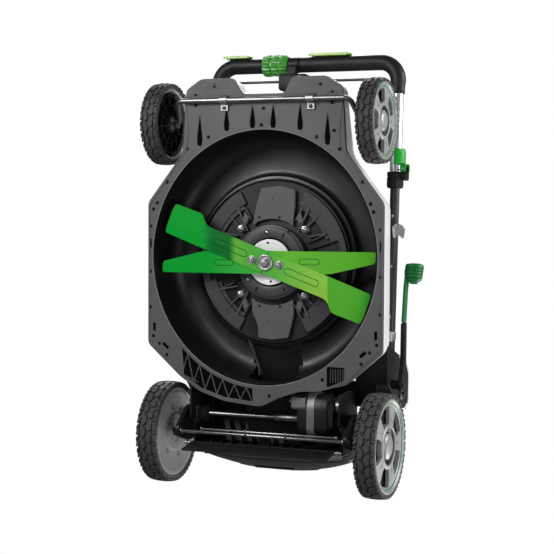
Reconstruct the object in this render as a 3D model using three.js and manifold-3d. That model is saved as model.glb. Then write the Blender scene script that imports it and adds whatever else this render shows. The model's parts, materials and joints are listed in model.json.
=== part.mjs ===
// Battery push mower with self-drive, folded for storage, in millimetres.
// +Z is up, the mower's front faces -Y and +X is the operator's left.
// The model is drawn about the blade axis on the ground, then moved so its box stands on the origin.
import * as THREE from "three";
import { mergeVertices } from "three/addons/utils/BufferGeometryUtils.js";
import Module from "manifold-3d";

const wasm = await Module();
wasm.setup();

// Driving dimensions
const GAP = 0.4; // clearance between pieces that only touch
const RUN = 0.4; // radial running clearance of shafts and pins
const DECK_HALF = 292; // half width of the deck at its rim
const RIM_Z = 62; // underside of the rim plate
const BASE_T = 8; // rim plate
const DECK_TOP = 182; // top face of the deck shell
const DECK_DRAFT = 20; // how far the shell leans in by its top
const WALL = 4; // deck shell wall
const LINER_T = 3; // chamber liner wall
const CHAMBER_A = 279; // chamber mouth, half width
const CHAMBER_B = 294; // chamber mouth, half length
const CHAMBER_Y = -11; // chamber centre
const CHAMBER_TOP = 168; // chamber ceiling
const HUB_R = 187; // round well of the motor
const HUB_Z = 131; // lower lip of that well
const BLADE_R = 266;
const BLADE_T = 3.5;
const BLADE_Z = 82; // underside of the lower blade
const LOWER_BLADE_TURN = 20; // degrees
const BOLT_R = 6;
const NUT_PITCH = 34; // blade nuts from the spindle axis
const SPINDLE_R = 10;
const FLANGE_R = 53.5;
const COVER_R = 87.5; // motor cover ring
const MOTOR_R = 86; // rotor cup
const MOTOR_H = 50;
const FRONT = { r: 97, width: 42, outer: 284, y: -322, rimR: 84 };
const REAR = { r: 121, width: 51, outer: 294, y: 413.5, rimR: 105 };
const AXLE_R = 6;
const BAR_Y = -372; // front height bar, about which the front wheels swing
const BAR_Z = 54;
const SHAFT_Y = 363; // drive shaft, about which the rear wheels swing
const SHAFT_Z = 120;
const SHAFT_R = 5;
const HOUSING_HALF = 188; // rear housing, half width
const HOUSING_BACK = 440;
const CHUTE_HALF = 62; // inside half width of the discharge chute
const HOOD_HALF = 176;
const HOOD_FRONT = -262;
const HOOD_BACK = 258;
const HOOD_TOP = 322;
const HOOD_T = 3.5;
const BATTERY = { x: 44, y0: -96, y1: 64, z0: DECK_TOP + 22, z1: HOOD_TOP - 24 };
const TUBE_X = 235; // handle legs
const TUBE_R = 14; // upper handle tube
const TUBE_T = 2; // its wall
const SLEEVE = 0.6; // radial clearance of the telescope
const PIVOT_Y = 312; // handle fold pivot
const PIVOT_Z = 288;
const GRIP_Y = -476; // grip axis when folded
const GRIP_Z = 342;
const GRIP_R = 19;
const BEND_R = 46; // corner of the handle bow
const COLLAR_Y = -526; // lower end of the clamp collar, along the handle
const COLLAR_L = 39;
const COLLAR_R = TUBE_R + 6;
const CLAMP_PIN = TUBE_R + 9; // clamp pin from the tube axis
const CLAMP_PIN_R = 2.5;
const BAIL_REACH = 37; // bail pivot to its bar
const BAIL_REST = 145; // where the bar rests about that pivot, degrees up from the rear
const BRACKET_X = 256; // inner face of the handle bracket plates
const BRACKET_T = 10;
const LEVER_Y = 285; // height lever pivot
const LEVER_Z = 222;
const LEVER_X = 281;
const LEVER_T = 10;

const HANDLE_LENGTH = Math.hypot(GRIP_Y - PIVOT_Y, GRIP_Z - PIVOT_Z);
const HANDLE_TILT = Math.atan2(GRIP_Z - PIVOT_Z, PIVOT_Y - GRIP_Y);
const UPPER_BLADE_Z = BLADE_Z + BLADE_T + GAP;
const FLANGE_Z = UPPER_BLADE_Z + BLADE_T + GAP;

const mower = new THREE.Group();

// Shape helpers

function solidOf(geometry) {
  const bare = geometry.index ? geometry.toNonIndexed() : geometry.clone();
  bare.deleteAttribute("normal");
  bare.deleteAttribute("uv");
  const merged = mergeVertices(bare, 1e-3);
  return new wasm.Manifold(
    new wasm.Mesh({
      numProp: 3,
      vertProperties: merged.attributes.position.array,
      triVerts: new Uint32Array(merged.index.array),
    }),
  );
}

function geometryOf(solid) {
  const mesh = solid.getMesh();
  const geometry = new THREE.BufferGeometry();
  geometry.setAttribute("position", new THREE.BufferAttribute(mesh.vertProperties, 3));
  geometry.setIndex(new THREE.BufferAttribute(mesh.triVerts, 1));
  return geometry;
}

function join(first, ...others) {
  return geometryOf(others.reduce((sum, other) => sum.add(solidOf(other)), solidOf(first)));
}

function cut(first, ...others) {
  return geometryOf(others.reduce((rest, other) => rest.subtract(solidOf(other)), solidOf(first)));
}

function box(x0, x1, y0, y1, z0, z1) {
  const geometry = new THREE.BoxGeometry(x1 - x0, y1 - y0, z1 - z0);
  return geometry.translate((x0 + x1) / 2, (y0 + y1) / 2, (z0 + z1) / 2);
}

function cylinderX(r, x0, x1, y, z, sides = 24) {
  const geometry = new THREE.CylinderGeometry(r, r, x1 - x0, sides).rotateZ(-Math.PI / 2);
  return geometry.translate((x0 + x1) / 2, y, z);
}

function cylinderY(r, y0, y1, x, z, sides = 24) {
  return new THREE.CylinderGeometry(r, r, y1 - y0, sides).translate(x, (y0 + y1) / 2, z);
}

function cylinderZ(r, z0, z1, x = 0, y = 0, sides = 24) {
  const geometry = new THREE.CylinderGeometry(r, r, z1 - z0, sides).rotateX(Math.PI / 2);
  return geometry.translate(x, y, (z0 + z1) / 2);
}

// A ring between two radii, about the vertical.
function ringZ(inner, outer, z0, z1, sides = 32) {
  const shape = new THREE.Shape().absarc(0, 0, outer, 0, Math.PI * 2);
  shape.holes.push(new THREE.Path().absarc(0, 0, inner, 0, Math.PI * 2));
  const options = { depth: z1 - z0, bevelEnabled: false, curveSegments: sides / 2 };
  return new THREE.ExtrudeGeometry(shape, options).translate(0, 0, z0);
}

// An outline of [x, y] points raised from z0 to z1.
function prismZ(points, z0, z1) {
  const shape = new THREE.Shape(points.map(([x, y]) => new THREE.Vector2(x, y)));
  const options = { depth: z1 - z0, bevelEnabled: false };
  return new THREE.ExtrudeGeometry(shape, options).translate(0, 0, z0);
}

// An outline of [y, z] points carried from x0 to x1.
function prismX(points, x0, x1) {
  const shape = new THREE.Shape(points.map(([y, z]) => new THREE.Vector2(y, z)));
  const options = { depth: x1 - x0, bevelEnabled: false };
  const turn = new THREE.Matrix4().makeBasis(
    new THREE.Vector3(0, 1, 0),
    new THREE.Vector3(0, 0, 1),
    new THREE.Vector3(1, 0, 0),
  );
  return new THREE.ExtrudeGeometry(shape, options).applyMatrix4(turn).translate(x0, 0, 0);
}

// A profile of [radius, x] points turned about an axle along X.
function wheelSolid(profile, y, z, sides = 28) {
  const points = profile.map(([r, x]) => new THREE.Vector2(r, x));
  points.push(points[0].clone());
  const geometry = new THREE.LatheGeometry(points, sides).rotateZ(-Math.PI / 2);
  return geometry.translate(0, y, z);
}

// Rings of equal point count joined in turn; capped at the ends, or closed on themselves.
function skin(rings, closed = false) {
  const count = rings[0].length;
  const positions = rings.flat().flatMap((p) => [p.x, p.y, p.z]);
  const faces = [];
  const spans = closed ? rings.length : rings.length - 1;
  for (let i = 0; i < spans; i += 1) {
    const next = (i + 1) % rings.length;
    for (let j = 0; j < count; j += 1) {
      const k = (j + 1) % count;
      faces.push(i * count + j, i * count + k, next * count + k);
      faces.push(i * count + j, next * count + k, next * count + j);
    }
  }
  if (!closed) {
    const last = (rings.length - 1) * count;
    for (const [a, b, c] of THREE.ShapeUtils.triangulateShape(rings[0], [])) {
      faces.push(c, b, a);
      faces.push(last + a, last + b, last + c);
    }
  }
  const geometry = new THREE.BufferGeometry();
  geometry.setAttribute("position", new THREE.Float32BufferAttribute(positions, 3));
  geometry.setIndex(faces);
  return geometry;
}

// The outline moved inwards by a distance, with mitred corners; points run anticlockwise.
function inset(points, distance) {
  return points.map(([x, y], i) => {
    const [px, py] = points[(i + points.length - 1) % points.length];
    const [nx, ny] = points[(i + 1) % points.length];
    const before = new THREE.Vector2(x - px, y - py).normalize();
    const after = new THREE.Vector2(nx - x, ny - y).normalize();
    const side = new THREE.Vector2(-before.y - after.y, before.x + after.x).normalize();
    const reach = distance / Math.max(0.3, side.dot(new THREE.Vector2(-before.y, before.x)));
    return [x + side.x * reach, y + side.y * reach];
  });
}

function atHeight(points, z) {
  return points.map(([x, y]) => new THREE.Vector3(x, y, z));
}

function roundedBox(halfX, y0, y1, r, z) {
  const points = [];
  const corners = [
    [halfX - r, y1 - r, 0],
    [r - halfX, y1 - r, 90],
    [r - halfX, y0 + r, 180],
    [halfX - r, y0 + r, 270],
  ];
  for (const [x, y, start] of corners) {
    for (let turn = 0; turn <= 90; turn += 18) {
      const angle = THREE.MathUtils.degToRad(start + turn);
      points.push(new THREE.Vector3(x + r * Math.cos(angle), y + r * Math.sin(angle), z));
    }
  }
  return points;
}

// A path through given points, one step of the sweep for each.
class Route extends THREE.Curve {
  constructor(points) {
    super();
    this.points = points;
  }

  index(u) {
    return Math.round(u * (this.points.length - 1));
  }

  getPointAt(u) {
    return this.points[this.index(u)].clone();
  }

  getTangentAt(u) {
    const i = this.index(u);
    const ahead = this.points[Math.min(i + 1, this.points.length - 1)];
    const behind = this.points[Math.max(i - 1, 0)];
    return ahead.clone().sub(behind).normalize();
  }
}

// Straight runs joined by round bends, each bend starting a given distance before its corner.
function bentPoints(corners, bend, bendSteps = 4) {
  const points = [corners[0]];
  for (let i = 1; i < corners.length - 1; i += 1) {
    const back = corners[i - 1].clone().sub(corners[i]).normalize();
    const ahead = corners[i + 1].clone().sub(corners[i]).normalize();
    const half = back.angleTo(ahead) / 2;
    const toCentre = back.clone().add(ahead).normalize();
    const centre = corners[i].clone().addScaledVector(toCentre, bend / Math.cos(half));
    const from = corners[i].clone().addScaledVector(back, bend).sub(centre);
    const to = corners[i].clone().addScaledVector(ahead, bend).sub(centre);
    const sweep = from.angleTo(to);
    for (let step = 0; step <= bendSteps; step += 1) {
      const a = Math.sin(sweep * (1 - step / bendSteps)) / Math.sin(sweep);
      const b = Math.sin((sweep * step) / bendSteps) / Math.sin(sweep);
      const arm = from.clone().multiplyScalar(a).addScaledVector(to, b);
      points.push(centre.clone().add(arm));
    }
  }
  points.push(corners[corners.length - 1]);
  return points;
}

// A round bar or tube along such a route.
function tube(corners, bend, outer, inner, sides) {
  const points = bentPoints(corners, bend);
  const circle = new THREE.Shape().absarc(0, 0, outer, 0, Math.PI * 2);
  if (inner) circle.holes.push(new THREE.Path().absarc(0, 0, inner, 0, Math.PI * 2));
  const options = { steps: points.length - 1, bevelEnabled: false, curveSegments: sides / 2 };
  return new THREE.ExtrudeGeometry(circle, { ...options, extrudePath: new Route(points) });
}

function add(group, name, geometry, colour, roughness, metalness = 0) {
  const material = new THREE.MeshStandardMaterial({ color: colour, roughness, metalness });
  const mesh = new THREE.Mesh(geometry, material);
  mesh.name = name;
  group.add(mesh);
  return mesh;
}

const charcoal = (group, name, geometry) => add(group, name, geometry, 0x4c4d4f, 0.55);
const black = (group, name, geometry) => add(group, name, geometry, 0x17181a, 0.45);
const silver = (group, name, geometry) => add(group, name, geometry, 0xc9cbcc, 0.35, 0.3);
const green = (group, name, geometry) => add(group, name, geometry, 0x35a339, 0.35);
const steel = (group, name, geometry) => add(group, name, geometry, 0xa9abad, 0.3, 1);
const rubber = (group, name, geometry) => add(group, name, geometry, 0x2b2b2c, 0.9);

// Deck

// Plan of the deck at its rim, anticlockwise from the left front tab.
const deckPlan = [
  [53, -386],
  [72, -423],
  [155, -423],
  [193, -398],
  [202, -253],
  [DECK_HALF, -137],
  [DECK_HALF, 197],
  [208, 271],
  [138, 290],
  [95, 292],
  [46, 308],
  [1, 331],
  [-17, 331],
  [-93, 324],
  [-157, 304],
  [-208, 271],
  [-DECK_HALF, 197],
  [-DECK_HALF, -137],
  [-202, -253],
  [-193, -398],
  [-155, -423],
  [-72, -423],
  [-53, -386],
];

function ellipse(a, b, y, z, count = 40) {
  return Array.from({ length: count }, (_, i) => {
    const angle = (i / count) * Math.PI * 2;
    return new THREE.Vector3(a * Math.cos(angle), y + b * Math.sin(angle), z);
  });
}

// The space the chamber liner stands in, grown by a clearance.
function chamberMouth(extra, z0, z1) {
  const a = CHAMBER_A + LINER_T + extra;
  const b = CHAMBER_B + LINER_T + extra;
  return skin([ellipse(a, b, CHAMBER_Y, z0), ellipse(a, b, CHAMBER_Y, z1)]);
}

function deckBase() {
  const plate = prismZ(deckPlan, RIM_Z, RIM_Z + BASE_T - GAP);
  const slots = [-158, -90, -25, 26, 92, 158].map((x) => {
    const front = Math.abs(x) > 120 ? -338 : -360;
    const length = Math.abs(x) > 120 ? 74 : 58;
    const points = [
      [x, front],
      [x + 7, front + length * 0.7],
      [x + 6, front + length],
      [x - 6, front + length],
      [x - 7, front + length * 0.7],
    ];
    return prismZ(points, RIM_Z - 1, RIM_Z + 5);
  });
  const rearPocket = box(164, 200, 234, 262, RIM_Z - 1, RIM_Z + BASE_T);
  const mouth = chamberMouth(GAP, RIM_Z - 1, RIM_Z + BASE_T + 1);
  return cut(plate, mouth, rearPocket, ...slots);
}

// The sloping front of the deck, as a wedge to take off it.
function noseWedge(drop) {
  const points = [
    [-440, 118 - drop],
    [-286, DECK_TOP - drop],
    [-286, DECK_TOP + 20],
    [-440, DECK_TOP + 20],
  ];
  return prismX(points, -DECK_HALF - 10, DECK_HALF + 10);
}

const chuteOuter = [
  [289, 104],
  [HOUSING_BACK, 160],
  [HOUSING_BACK, 258],
  [289, 176],
];

function chuteSpace(extra, halfWidth) {
  const points = chuteOuter.map(([y, z], i) => [
    i === 0 || i === 3 ? y - extra : y,
    i < 2 ? z - extra : z + extra,
  ]);
  return prismX(points, -halfWidth - extra, halfWidth + extra);
}

function deckShell() {
  const low = RIM_Z + BASE_T;
  const outer = skin([atHeight(deckPlan, low), atHeight(inset(deckPlan, DECK_DRAFT), DECK_TOP)]);
  const inner = skin([
    atHeight(inset(deckPlan, WALL), low - 1),
    atHeight(inset(deckPlan, DECK_DRAFT + WALL), DECK_TOP - WALL),
  ]);
  const cavity = cut(inner, noseWedge(WALL + 1));
  const motorHole = cylinderZ(150, DECK_TOP - WALL - 2, DECK_TOP + 2, 0, 0, 40);
  const half = CHUTE_HALF + LINER_T + GAP;
  const [mouthY, mouthZ] = chuteOuter[0];
  const chuteMouth = box(-half, half, mouthY - 27, mouthY, mouthZ - GAP, chuteOuter[3][1] + GAP);
  const chute = chuteSpace(GAP, CHUTE_HALF + LINER_T);
  return cut(cut(outer, noseWedge(0)), cavity, motorHole, chuteMouth, chute);
}

function chamberLiner() {
  const top = CHAMBER_TOP;
  const lean = [
    [0, RIM_Z + 2],
    [-1, 90],
    [-14, 149],
    [-27, top],
  ];
  const inside = lean.map(([d, z]) => ellipse(CHAMBER_A + d, CHAMBER_B + d, CHAMBER_Y, z));
  inside.push(ellipse(207, 210, -4, top));
  inside.push(ellipse(HUB_R + 8, HUB_R + 8, 0, top - 11));
  inside.push(ellipse(HUB_R + GAP + LINER_T, HUB_R + GAP + LINER_T, 0, HUB_Z));
  const t = LINER_T;
  const outside = lean.map(([d, z], i) => {
    const rise = i === 3 ? t : 0;
    return ellipse(CHAMBER_A + d + t, CHAMBER_B + d + t, CHAMBER_Y, z + rise);
  });
  outside.push(ellipse(207 - t, 210 - t, -4, top + t));
  outside.push(ellipse(HUB_R + 8 - t, HUB_R + 8 - t, 0, top - 11 + t));
  outside.push(ellipse(HUB_R + GAP, HUB_R + GAP, 0, HUB_Z));
  const shell = skin([...inside.reverse(), ...outside], true);
  const chuteMouth = box(-CHUTE_HALF, CHUTE_HALF, 214, 300, 108, 180);
  return cut(shell, chuteMouth);
}

function addDeck() {
  charcoal(mower, "deck_base", deckBase());
  silver(mower, "deck_shell", deckShell());
  black(mower, "chamber_liner", chamberLiner());
}

// Motor and spindle

function motorMount() {
  const z0 = HUB_Z - 1;
  const z1 = HUB_Z + 4;
  const disc = cylinderZ(HUB_R - 1, z0, z1, 0, 0, 40);
  const windows = [];
  for (const [from, to] of [[-58, -8], [8, 52], [128, 172], [188, 238]]) {
    const shape = new THREE.Shape();
    const a0 = THREE.MathUtils.degToRad(from);
    const a1 = THREE.MathUtils.degToRad(to);
    shape.absarc(0, 0, 142, a0, a1, false);
    shape.absarc(0, 0, 122, a1, a0, true);
    shape.closePath();
    const options = { depth: z1 - z0 + 2, bevelEnabled: false, curveSegments: 6 };
    windows.push(new THREE.ExtrudeGeometry(shape, options).translate(0, 0, z0 - 1));
  }
  const bore = cylinderZ(SPINDLE_R + RUN, z0 - 7, z1 + 7);
  const nose = cylinderZ(22, z0 - 6, z1 + 6);
  return cut(join(disc, nose), bore, ...windows);
}

function bladeOutline(upper) {
  const half = upper
    ? [
        [BLADE_R + 1, -28],
        [BLADE_R, -10],
        [240, 4],
        [156, 24],
      ]
    : [
        [BLADE_R - 4, -25],
        [BLADE_R - 6, 47],
        [186, 49],
        [180, 34],
        [164, 26],
      ];
  const low = upper ? 22 : 26;
  const top = upper ? -28 : -26;
  const right = [[40, top], ...half, [40, low]];
  return [...right, ...right.map(([x, y]) => [-x, -y])];
}

function blade(upper) {
  const z = upper ? UPPER_BLADE_Z : BLADE_Z;
  const plate = prismZ(bladeOutline(upper), z, z + BLADE_T);
  const own = plate.rotateZ(upper ? 0 : THREE.MathUtils.degToRad(LOWER_BLADE_TURN));
  const nutTurn = THREE.MathUtils.degToRad(9);
  const holes = [-1, 1].map((side) => {
    const x = side * NUT_PITCH * Math.cos(nutTurn);
    const y = side * NUT_PITCH * Math.sin(nutTurn);
    return cylinderZ(4 + GAP, z - 1, z + BLADE_T + 1, x, y, 12);
  });
  return cut(own, cylinderZ(BOLT_R + GAP, z - 1, z + BLADE_T + 1), ...holes);
}

function addSpindle() {
  const motorLow = HUB_Z + 5;
  const motorHigh = motorLow + MOTOR_H;
  charcoal(mower, "motor_mount", motorMount());
  const ring = ringZ(FLANGE_R + 3, COVER_R, 110, HUB_Z - 1 - GAP, 24);
  black(mower, "motor_cover_ring", ring);
  const stator = ringZ(24, MOTOR_R - 8, motorLow + 8, motorHigh - 8, 20);
  steel(mower, "motor_stator", stator);

  const shaft = cylinderZ(SPINDLE_R, FLANGE_Z + 14 + GAP, motorHigh + 10);
  steel(mower, "spindle_shaft", shaft);
  const cup = ringZ(MOTOR_R - 5, MOTOR_R, motorLow + 4, motorHigh, 24);
  const lid = cylinderZ(MOTOR_R, motorHigh - 4, motorHigh, 0, 0, 24);
  const boss = cylinderZ(20, motorHigh - 6, motorHigh + 4);
  const rotorBore = cylinderZ(SPINDLE_R + GAP, motorLow, motorHigh + 12);
  steel(mower, "motor_rotor", cut(join(cup, lid, boss), rotorBore));

  const disc = cylinderZ(FLANGE_R, FLANGE_Z + 16, FLANGE_Z + 22, 0, 0, 40);
  const hub = cylinderZ(30, FLANGE_Z, FLANGE_Z + 17, 0, 0, 30);
  const studBar = box(-NUT_PITCH - 9, NUT_PITCH + 9, -11, 11, FLANGE_Z, FLANGE_Z + 17);
  const turned = studBar.rotateZ(THREE.MathUtils.degToRad(9));
  const shaftSeat = cylinderZ(SPINDLE_R + GAP, FLANGE_Z + 14, FLANGE_Z + 30);
  const boltSeat = cylinderZ(BOLT_R + GAP, FLANGE_Z - 1, FLANGE_Z + 15);
  const nutSeats = [-1, 1].map((side) => nutPlace(cylinderZ(4 + GAP, FLANGE_Z - 1, FLANGE_Z + 13), side));
  silver(mower, "blade_flange", cut(join(disc, hub, turned), shaftSeat, boltSeat, ...nutSeats));
  green(mower, "blade_upper", blade(true));
  green(mower, "blade_lower", blade(false));

  const washer = cylinderZ(19, BLADE_Z - GAP - 4, BLADE_Z - GAP, 0, 0, 30);
  const head = cylinderZ(10.5, BLADE_Z - GAP - 12, BLADE_Z - GAP - 4, 0, 0, 6);
  const shank = cylinderZ(BOLT_R, BLADE_Z - 8, FLANGE_Z + 13);
  steel(mower, "blade_bolt", join(washer, head, shank));
  for (const side of [-1, 1]) {
    const nut = cylinderZ(7.5, BLADE_Z - GAP - 7, BLADE_Z - GAP, 0, 0, 6);
    const stud = cylinderZ(4, BLADE_Z - 10, FLANGE_Z + 12, 0, 0, 12);
    steel(mower, side < 0 ? "blade_nut_right" : "blade_nut_left", nutPlace(join(nut, stud), side));
  }
}

function nutPlace(geometry, side) {
  const turn = THREE.MathUtils.degToRad(9);
  return geometry.translate(side * NUT_PITCH * Math.cos(turn), side * NUT_PITCH * Math.sin(turn), 0);
}

// Hood, battery and lid

function hoodRings(t, lift) {
  const rise = HOOD_TOP - DECK_TOP - GAP;
  const tiers = [
    [0, 0, 0, 46],
    [6, 8, rise * 0.47, 50],
    [30, 44, rise * 0.83, 56],
    [62, 92, rise, 40],
  ];
  return tiers.map(([dx, dy, dz, r], i) => {
    const z = DECK_TOP + GAP + dz + (i === 3 ? -t : 0) + (i === 0 ? -lift : 0);
    return roundedBox(HOOD_HALF - dx - t, HOOD_FRONT + dy + t, HOOD_BACK - dy - t, r, z);
  });
}

const LID = { half: 78, y0: -132, y1: 96, t: 5 };

function addHood() {
  const opening = box(-LID.half - GAP, LID.half + GAP, LID.y0 - GAP, LID.y1 + GAP, HOOD_TOP - 14, HOOD_TOP + 2);
  const shell = cut(skin(hoodRings(0, 0)), skin(hoodRings(HOOD_T, 2)), opening);
  const lamp = box(-70, 70, HOOD_FRONT - 10, HOOD_FRONT + 30, 206, 232);
  charcoal(mower, "motor_hood", cut(shell, lamp));
  const lens = box(-69, 69, HOOD_FRONT - 2, HOOD_FRONT + 10, 207, 231);
  add(mower, "headlight", lens, 0xe8eef2, 0.1);

  const { x, y0, y1, z0, z1 } = BATTERY;
  const wall = 3;
  const tray = cut(
    box(-x - 2 - wall, x + 2 + wall, y0 - 2 - wall, y1 + 2 + wall, z0 - 2 - wall, z1 - 20),
    box(-x - 2, x + 2, y0 - 2, y1 + 2, z0 - 2, z1),
  );
  black(mower, "battery_tray", tray);
  const handle = box(-26, 26, y0 + 50, y1 - 50, z1 - 1, z1 + 12);
  const fingers = box(-14, 14, y0 + 40, y1 - 40, z1 + 1, z1 + 9);
  black(mower, "battery_pack", cut(join(box(-x, x, y0, y1, z0, z1), handle), fingers));

  const lid = box(-LID.half, LID.half, LID.y0, LID.y1, HOOD_TOP - LID.t, HOOD_TOP);
  const rim = box(-LID.half, LID.half, LID.y1 - 20, LID.y1, HOOD_TOP - 12, HOOD_TOP);
  charcoal(mower, "battery_door", join(lid, rim));
}

// Wheels and the height gear

function tyreProfile(w, side) {
  const outer = side * w.outer;
  const inner = side * (w.outer - w.width);
  const lip = side * 5;
  const profile = [
    [w.rimR, outer - lip],
    [w.r - 10, outer],
    [w.r, outer - side * 9],
    [w.r, inner + side * 9],
    [w.r - 10, inner],
    [w.rimR, inner + lip],
  ];
  if (side > 0) profile.reverse();
  return profile;
}

function rimProfile(w, side) {
  const outer = side * w.outer;
  const inner = side * (w.outer - w.width);
  const r = w.rimR - GAP;
  const profile = [
    [AXLE_R + RUN, outer - side * 3],
    [r * 0.36, outer - side * 3],
    [r * 0.44, outer - side * 8],
    [r - 6, outer - side * 5],
    [r, outer - side * 7],
    [r, inner + side * 7],
    [r - 5, inner + side * 7],
    [r - 6, outer - side * 13],
    [26, outer - side * 16],
    [20, inner + side * 2],
    [AXLE_R + RUN, inner + side * 2],
  ];
  if (side > 0) profile.reverse();
  return profile;
}

function addWheels(w, z, place) {
  for (const side of [1, -1]) {
    const name = place + (side > 0 ? "_left" : "_right");
    rubber(mower, "tyre_" + name, wheelSolid(tyreProfile(w, side), w.y, z));
    silver(mower, "rim_" + name, wheelSolid(rimProfile(w, side), w.y, z));
  }
}

function addFrontAxle() {
  const end = FRONT.outer - 12;
  const path = [
    new THREE.Vector3(-end, FRONT.y, FRONT.r),
    new THREE.Vector3(-226, FRONT.y, FRONT.r),
    new THREE.Vector3(-212, BAR_Y, BAR_Z),
    new THREE.Vector3(212, BAR_Y, BAR_Z),
    new THREE.Vector3(226, FRONT.y, FRONT.r),
    new THREE.Vector3(end, FRONT.y, FRONT.r),
  ];
  steel(mower, "front_axle", tube(path, 10, AXLE_R, 0, 12));
  for (const [name, x] of [["left", 119], ["right", -94]]) {
    const tongue = box(x - 9, x + 9, BAR_Y + 8, BAR_Y + 24, RIM_Z - 2.5 - GAP, RIM_Z - GAP);
    const saddle = cut(
      box(x - 9, x + 9, BAR_Y - 10, BAR_Y + 10, BAR_Z - 10, RIM_Z - GAP),
      cylinderX(AXLE_R + RUN, x - 10, x + 10, BAR_Y, BAR_Z, 20),
    );
    const screw = cylinderZ(4, RIM_Z - 5, RIM_Z - 2, x, BAR_Y + 17, 10);
    steel(mower, "axle_clip_" + name, join(saddle, tongue, screw));
  }
}

function addRearCarriage() {
  const inner = REAR.outer - REAR.width;
  for (const side of [1, -1]) {
    const name = side > 0 ? "left" : "right";
    const x0 = side > 0 ? 204 : -214;
    const x1 = x0 + 10;
    const outline = [
      [SHAFT_Y - 18, SHAFT_Z + 14],
      [REAR.y + 14, REAR.r + 14],
      [REAR.y + 16, REAR.r - 12],
      [412, 50],
      [390, 48],
      [SHAFT_Y - 18, SHAFT_Z - 14],
    ];
    const plate = cut(
      prismX(outline, x0, x1),
      cylinderX(SHAFT_R + RUN, x0 - 1, x1 + 1, SHAFT_Y, SHAFT_Z),
      cylinderX(4 + GAP, x0 - 1, x1 + 1, 400, 60, 16),
    );
    const stubFrom = side > 0 ? x1 - 1 : -(REAR.outer - 12);
    const stubTo = side > 0 ? REAR.outer - 12 : x0 + 1;
    const stub = cylinderX(AXLE_R, stubFrom, stubTo, REAR.y, REAR.r);
    const bossFrom = side > 0 ? x1 - 1 : -(inner - 2);
    const bossTo = side > 0 ? inner - 2 : x0 + 1;
    const boss = cylinderX(12, bossFrom, bossTo, REAR.y, REAR.r);
    black(mower, "rear_arm_" + name, join(plate, boss, stub));
  }
  steel(mower, "tie_rod", cylinderX(4, -216, 216, 400, 60, 16));
}

function addDrive() {
  const shaft = cylinderX(SHAFT_R, -222, 222, SHAFT_Y, SHAFT_Z);
  const sleeve = cylinderX(9, 11, 70, SHAFT_Y, SHAFT_Z, 16);
  steel(mower, "drive_shaft", join(shaft, sleeve));
  for (const side of [1, -1]) {
    const from = side > 0 ? 222 + GAP : -234 - GAP;
    const gear = cylinderX(12, from, from + 12, SHAFT_Y, SHAFT_Z, 12);
    steel(mower, side > 0 ? "pinion_left" : "pinion_right", gear);
  }
  const half = [
    [300, 96],
    [330, 84],
    [386, 84],
    [398, 104],
    [398, 142],
    [380, 156],
    [320, 156],
    [300, 140],
  ];
  const casing = prismX(half, 76, 164);
  const strap = prismX(half.map(([y, z]) => [349 + (y - 349) * 1.04, 120 + (z - 120) * 1.05]), 103, 123);
  const bore = cylinderX(SHAFT_R + RUN, 70, 170, SHAFT_Y, SHAFT_Z);
  const motor = cylinderX(24, 160, 182, 330, 128, 20);
  const hanger = box(100, 140, 320, 360, 150, 191);
  black(mower, "drive_gearbox", cut(join(casing, strap, motor, hanger), bore));
}

function rearHousing() {
  const h = HOUSING_HALF;
  const top = box(-h, h, 276, HOUSING_BACK, 192, 196);
  const skirt = box(-h, h, 276, 280, DECK_TOP + GAP, 194);
  const cheek = [
    [296, 74],
    [372, 74],
    [372, 96],
    [HOUSING_BACK, 96],
    [HOUSING_BACK, 194],
    [296, 194],
  ];
  const cheeks = [prismX(cheek, h - 4, h), prismX(cheek, -h, 4 - h)];
  const duct = chuteSpace(0, CHUTE_HALF + LINER_T);
  const t = LINER_T;
  const hollow = [
    [280, 104 + t],
    [289, 104 + t],
    [HOUSING_BACK + 1, 160 + t],
    [HOUSING_BACK + 1, 258 - t],
    [289, 176 - t],
    [280, 176 - t],
  ];
  const shaftHoles = cylinderX(SHAFT_R + RUN, -h - 2, h + 2, SHAFT_Y, SHAFT_Z, 16);
  const whole = join(top, skirt, ...cheeks, duct);
  return cut(whole, prismX(hollow, -CHUTE_HALF, CHUTE_HALF), shaftHoles);
}

function addRear() {
  black(mower, "rear_housing", rearHousing());

  const outside = [
    [446, 264],
    [462, 258],
    [484, 226],
    [492, 170],
    [480, 120],
    [462, 92],
  ];
  const back = outside.map(([y, z], i) => [y - (i === 0 ? 0 : 4), z - (i < 2 ? 4 : 0)]).reverse();
  const skinPlate = prismX([...outside, ...back].reverse(), -166, 186);
  const cheek = [
    [444, 262],
    [462, 256],
    [482, 226],
    [490, 170],
    [478, 120],
    [461, 94],
    [444, 100],
  ].reverse();
  const cheeks = [prismX(cheek, -166, -162), prismX(cheek, 182, 186)];
  black(mower, "rear_door", join(skinPlate, ...cheeks));

  const rod = cylinderX(3, -196, 196, 427, 64, 12);
  const sheet = prismX(
    [
      [424.5, 62],
      [430, 62],
      [438, 14],
      [433, 14],
    ],
    -180,
    180,
  );
  rubber(mower, "trailing_flap", join(rod, sheet));
}

// Handle brackets, height lever and quadrant

function bracketPlate() {
  const clear = 146;
  const arch = [];
  for (let i = 0; i <= 6; i += 1) {
    const angle = THREE.MathUtils.degToRad(155.1 - i * 6.5);
    arch.push([REAR.y + clear * Math.cos(angle), REAR.r + clear * Math.sin(angle)]);
  }
  return [[182, DECK_TOP + GAP], ...arch, [357, 322], [340, 350], [272, 352], [240, 330], [200, 214]];
}

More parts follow.
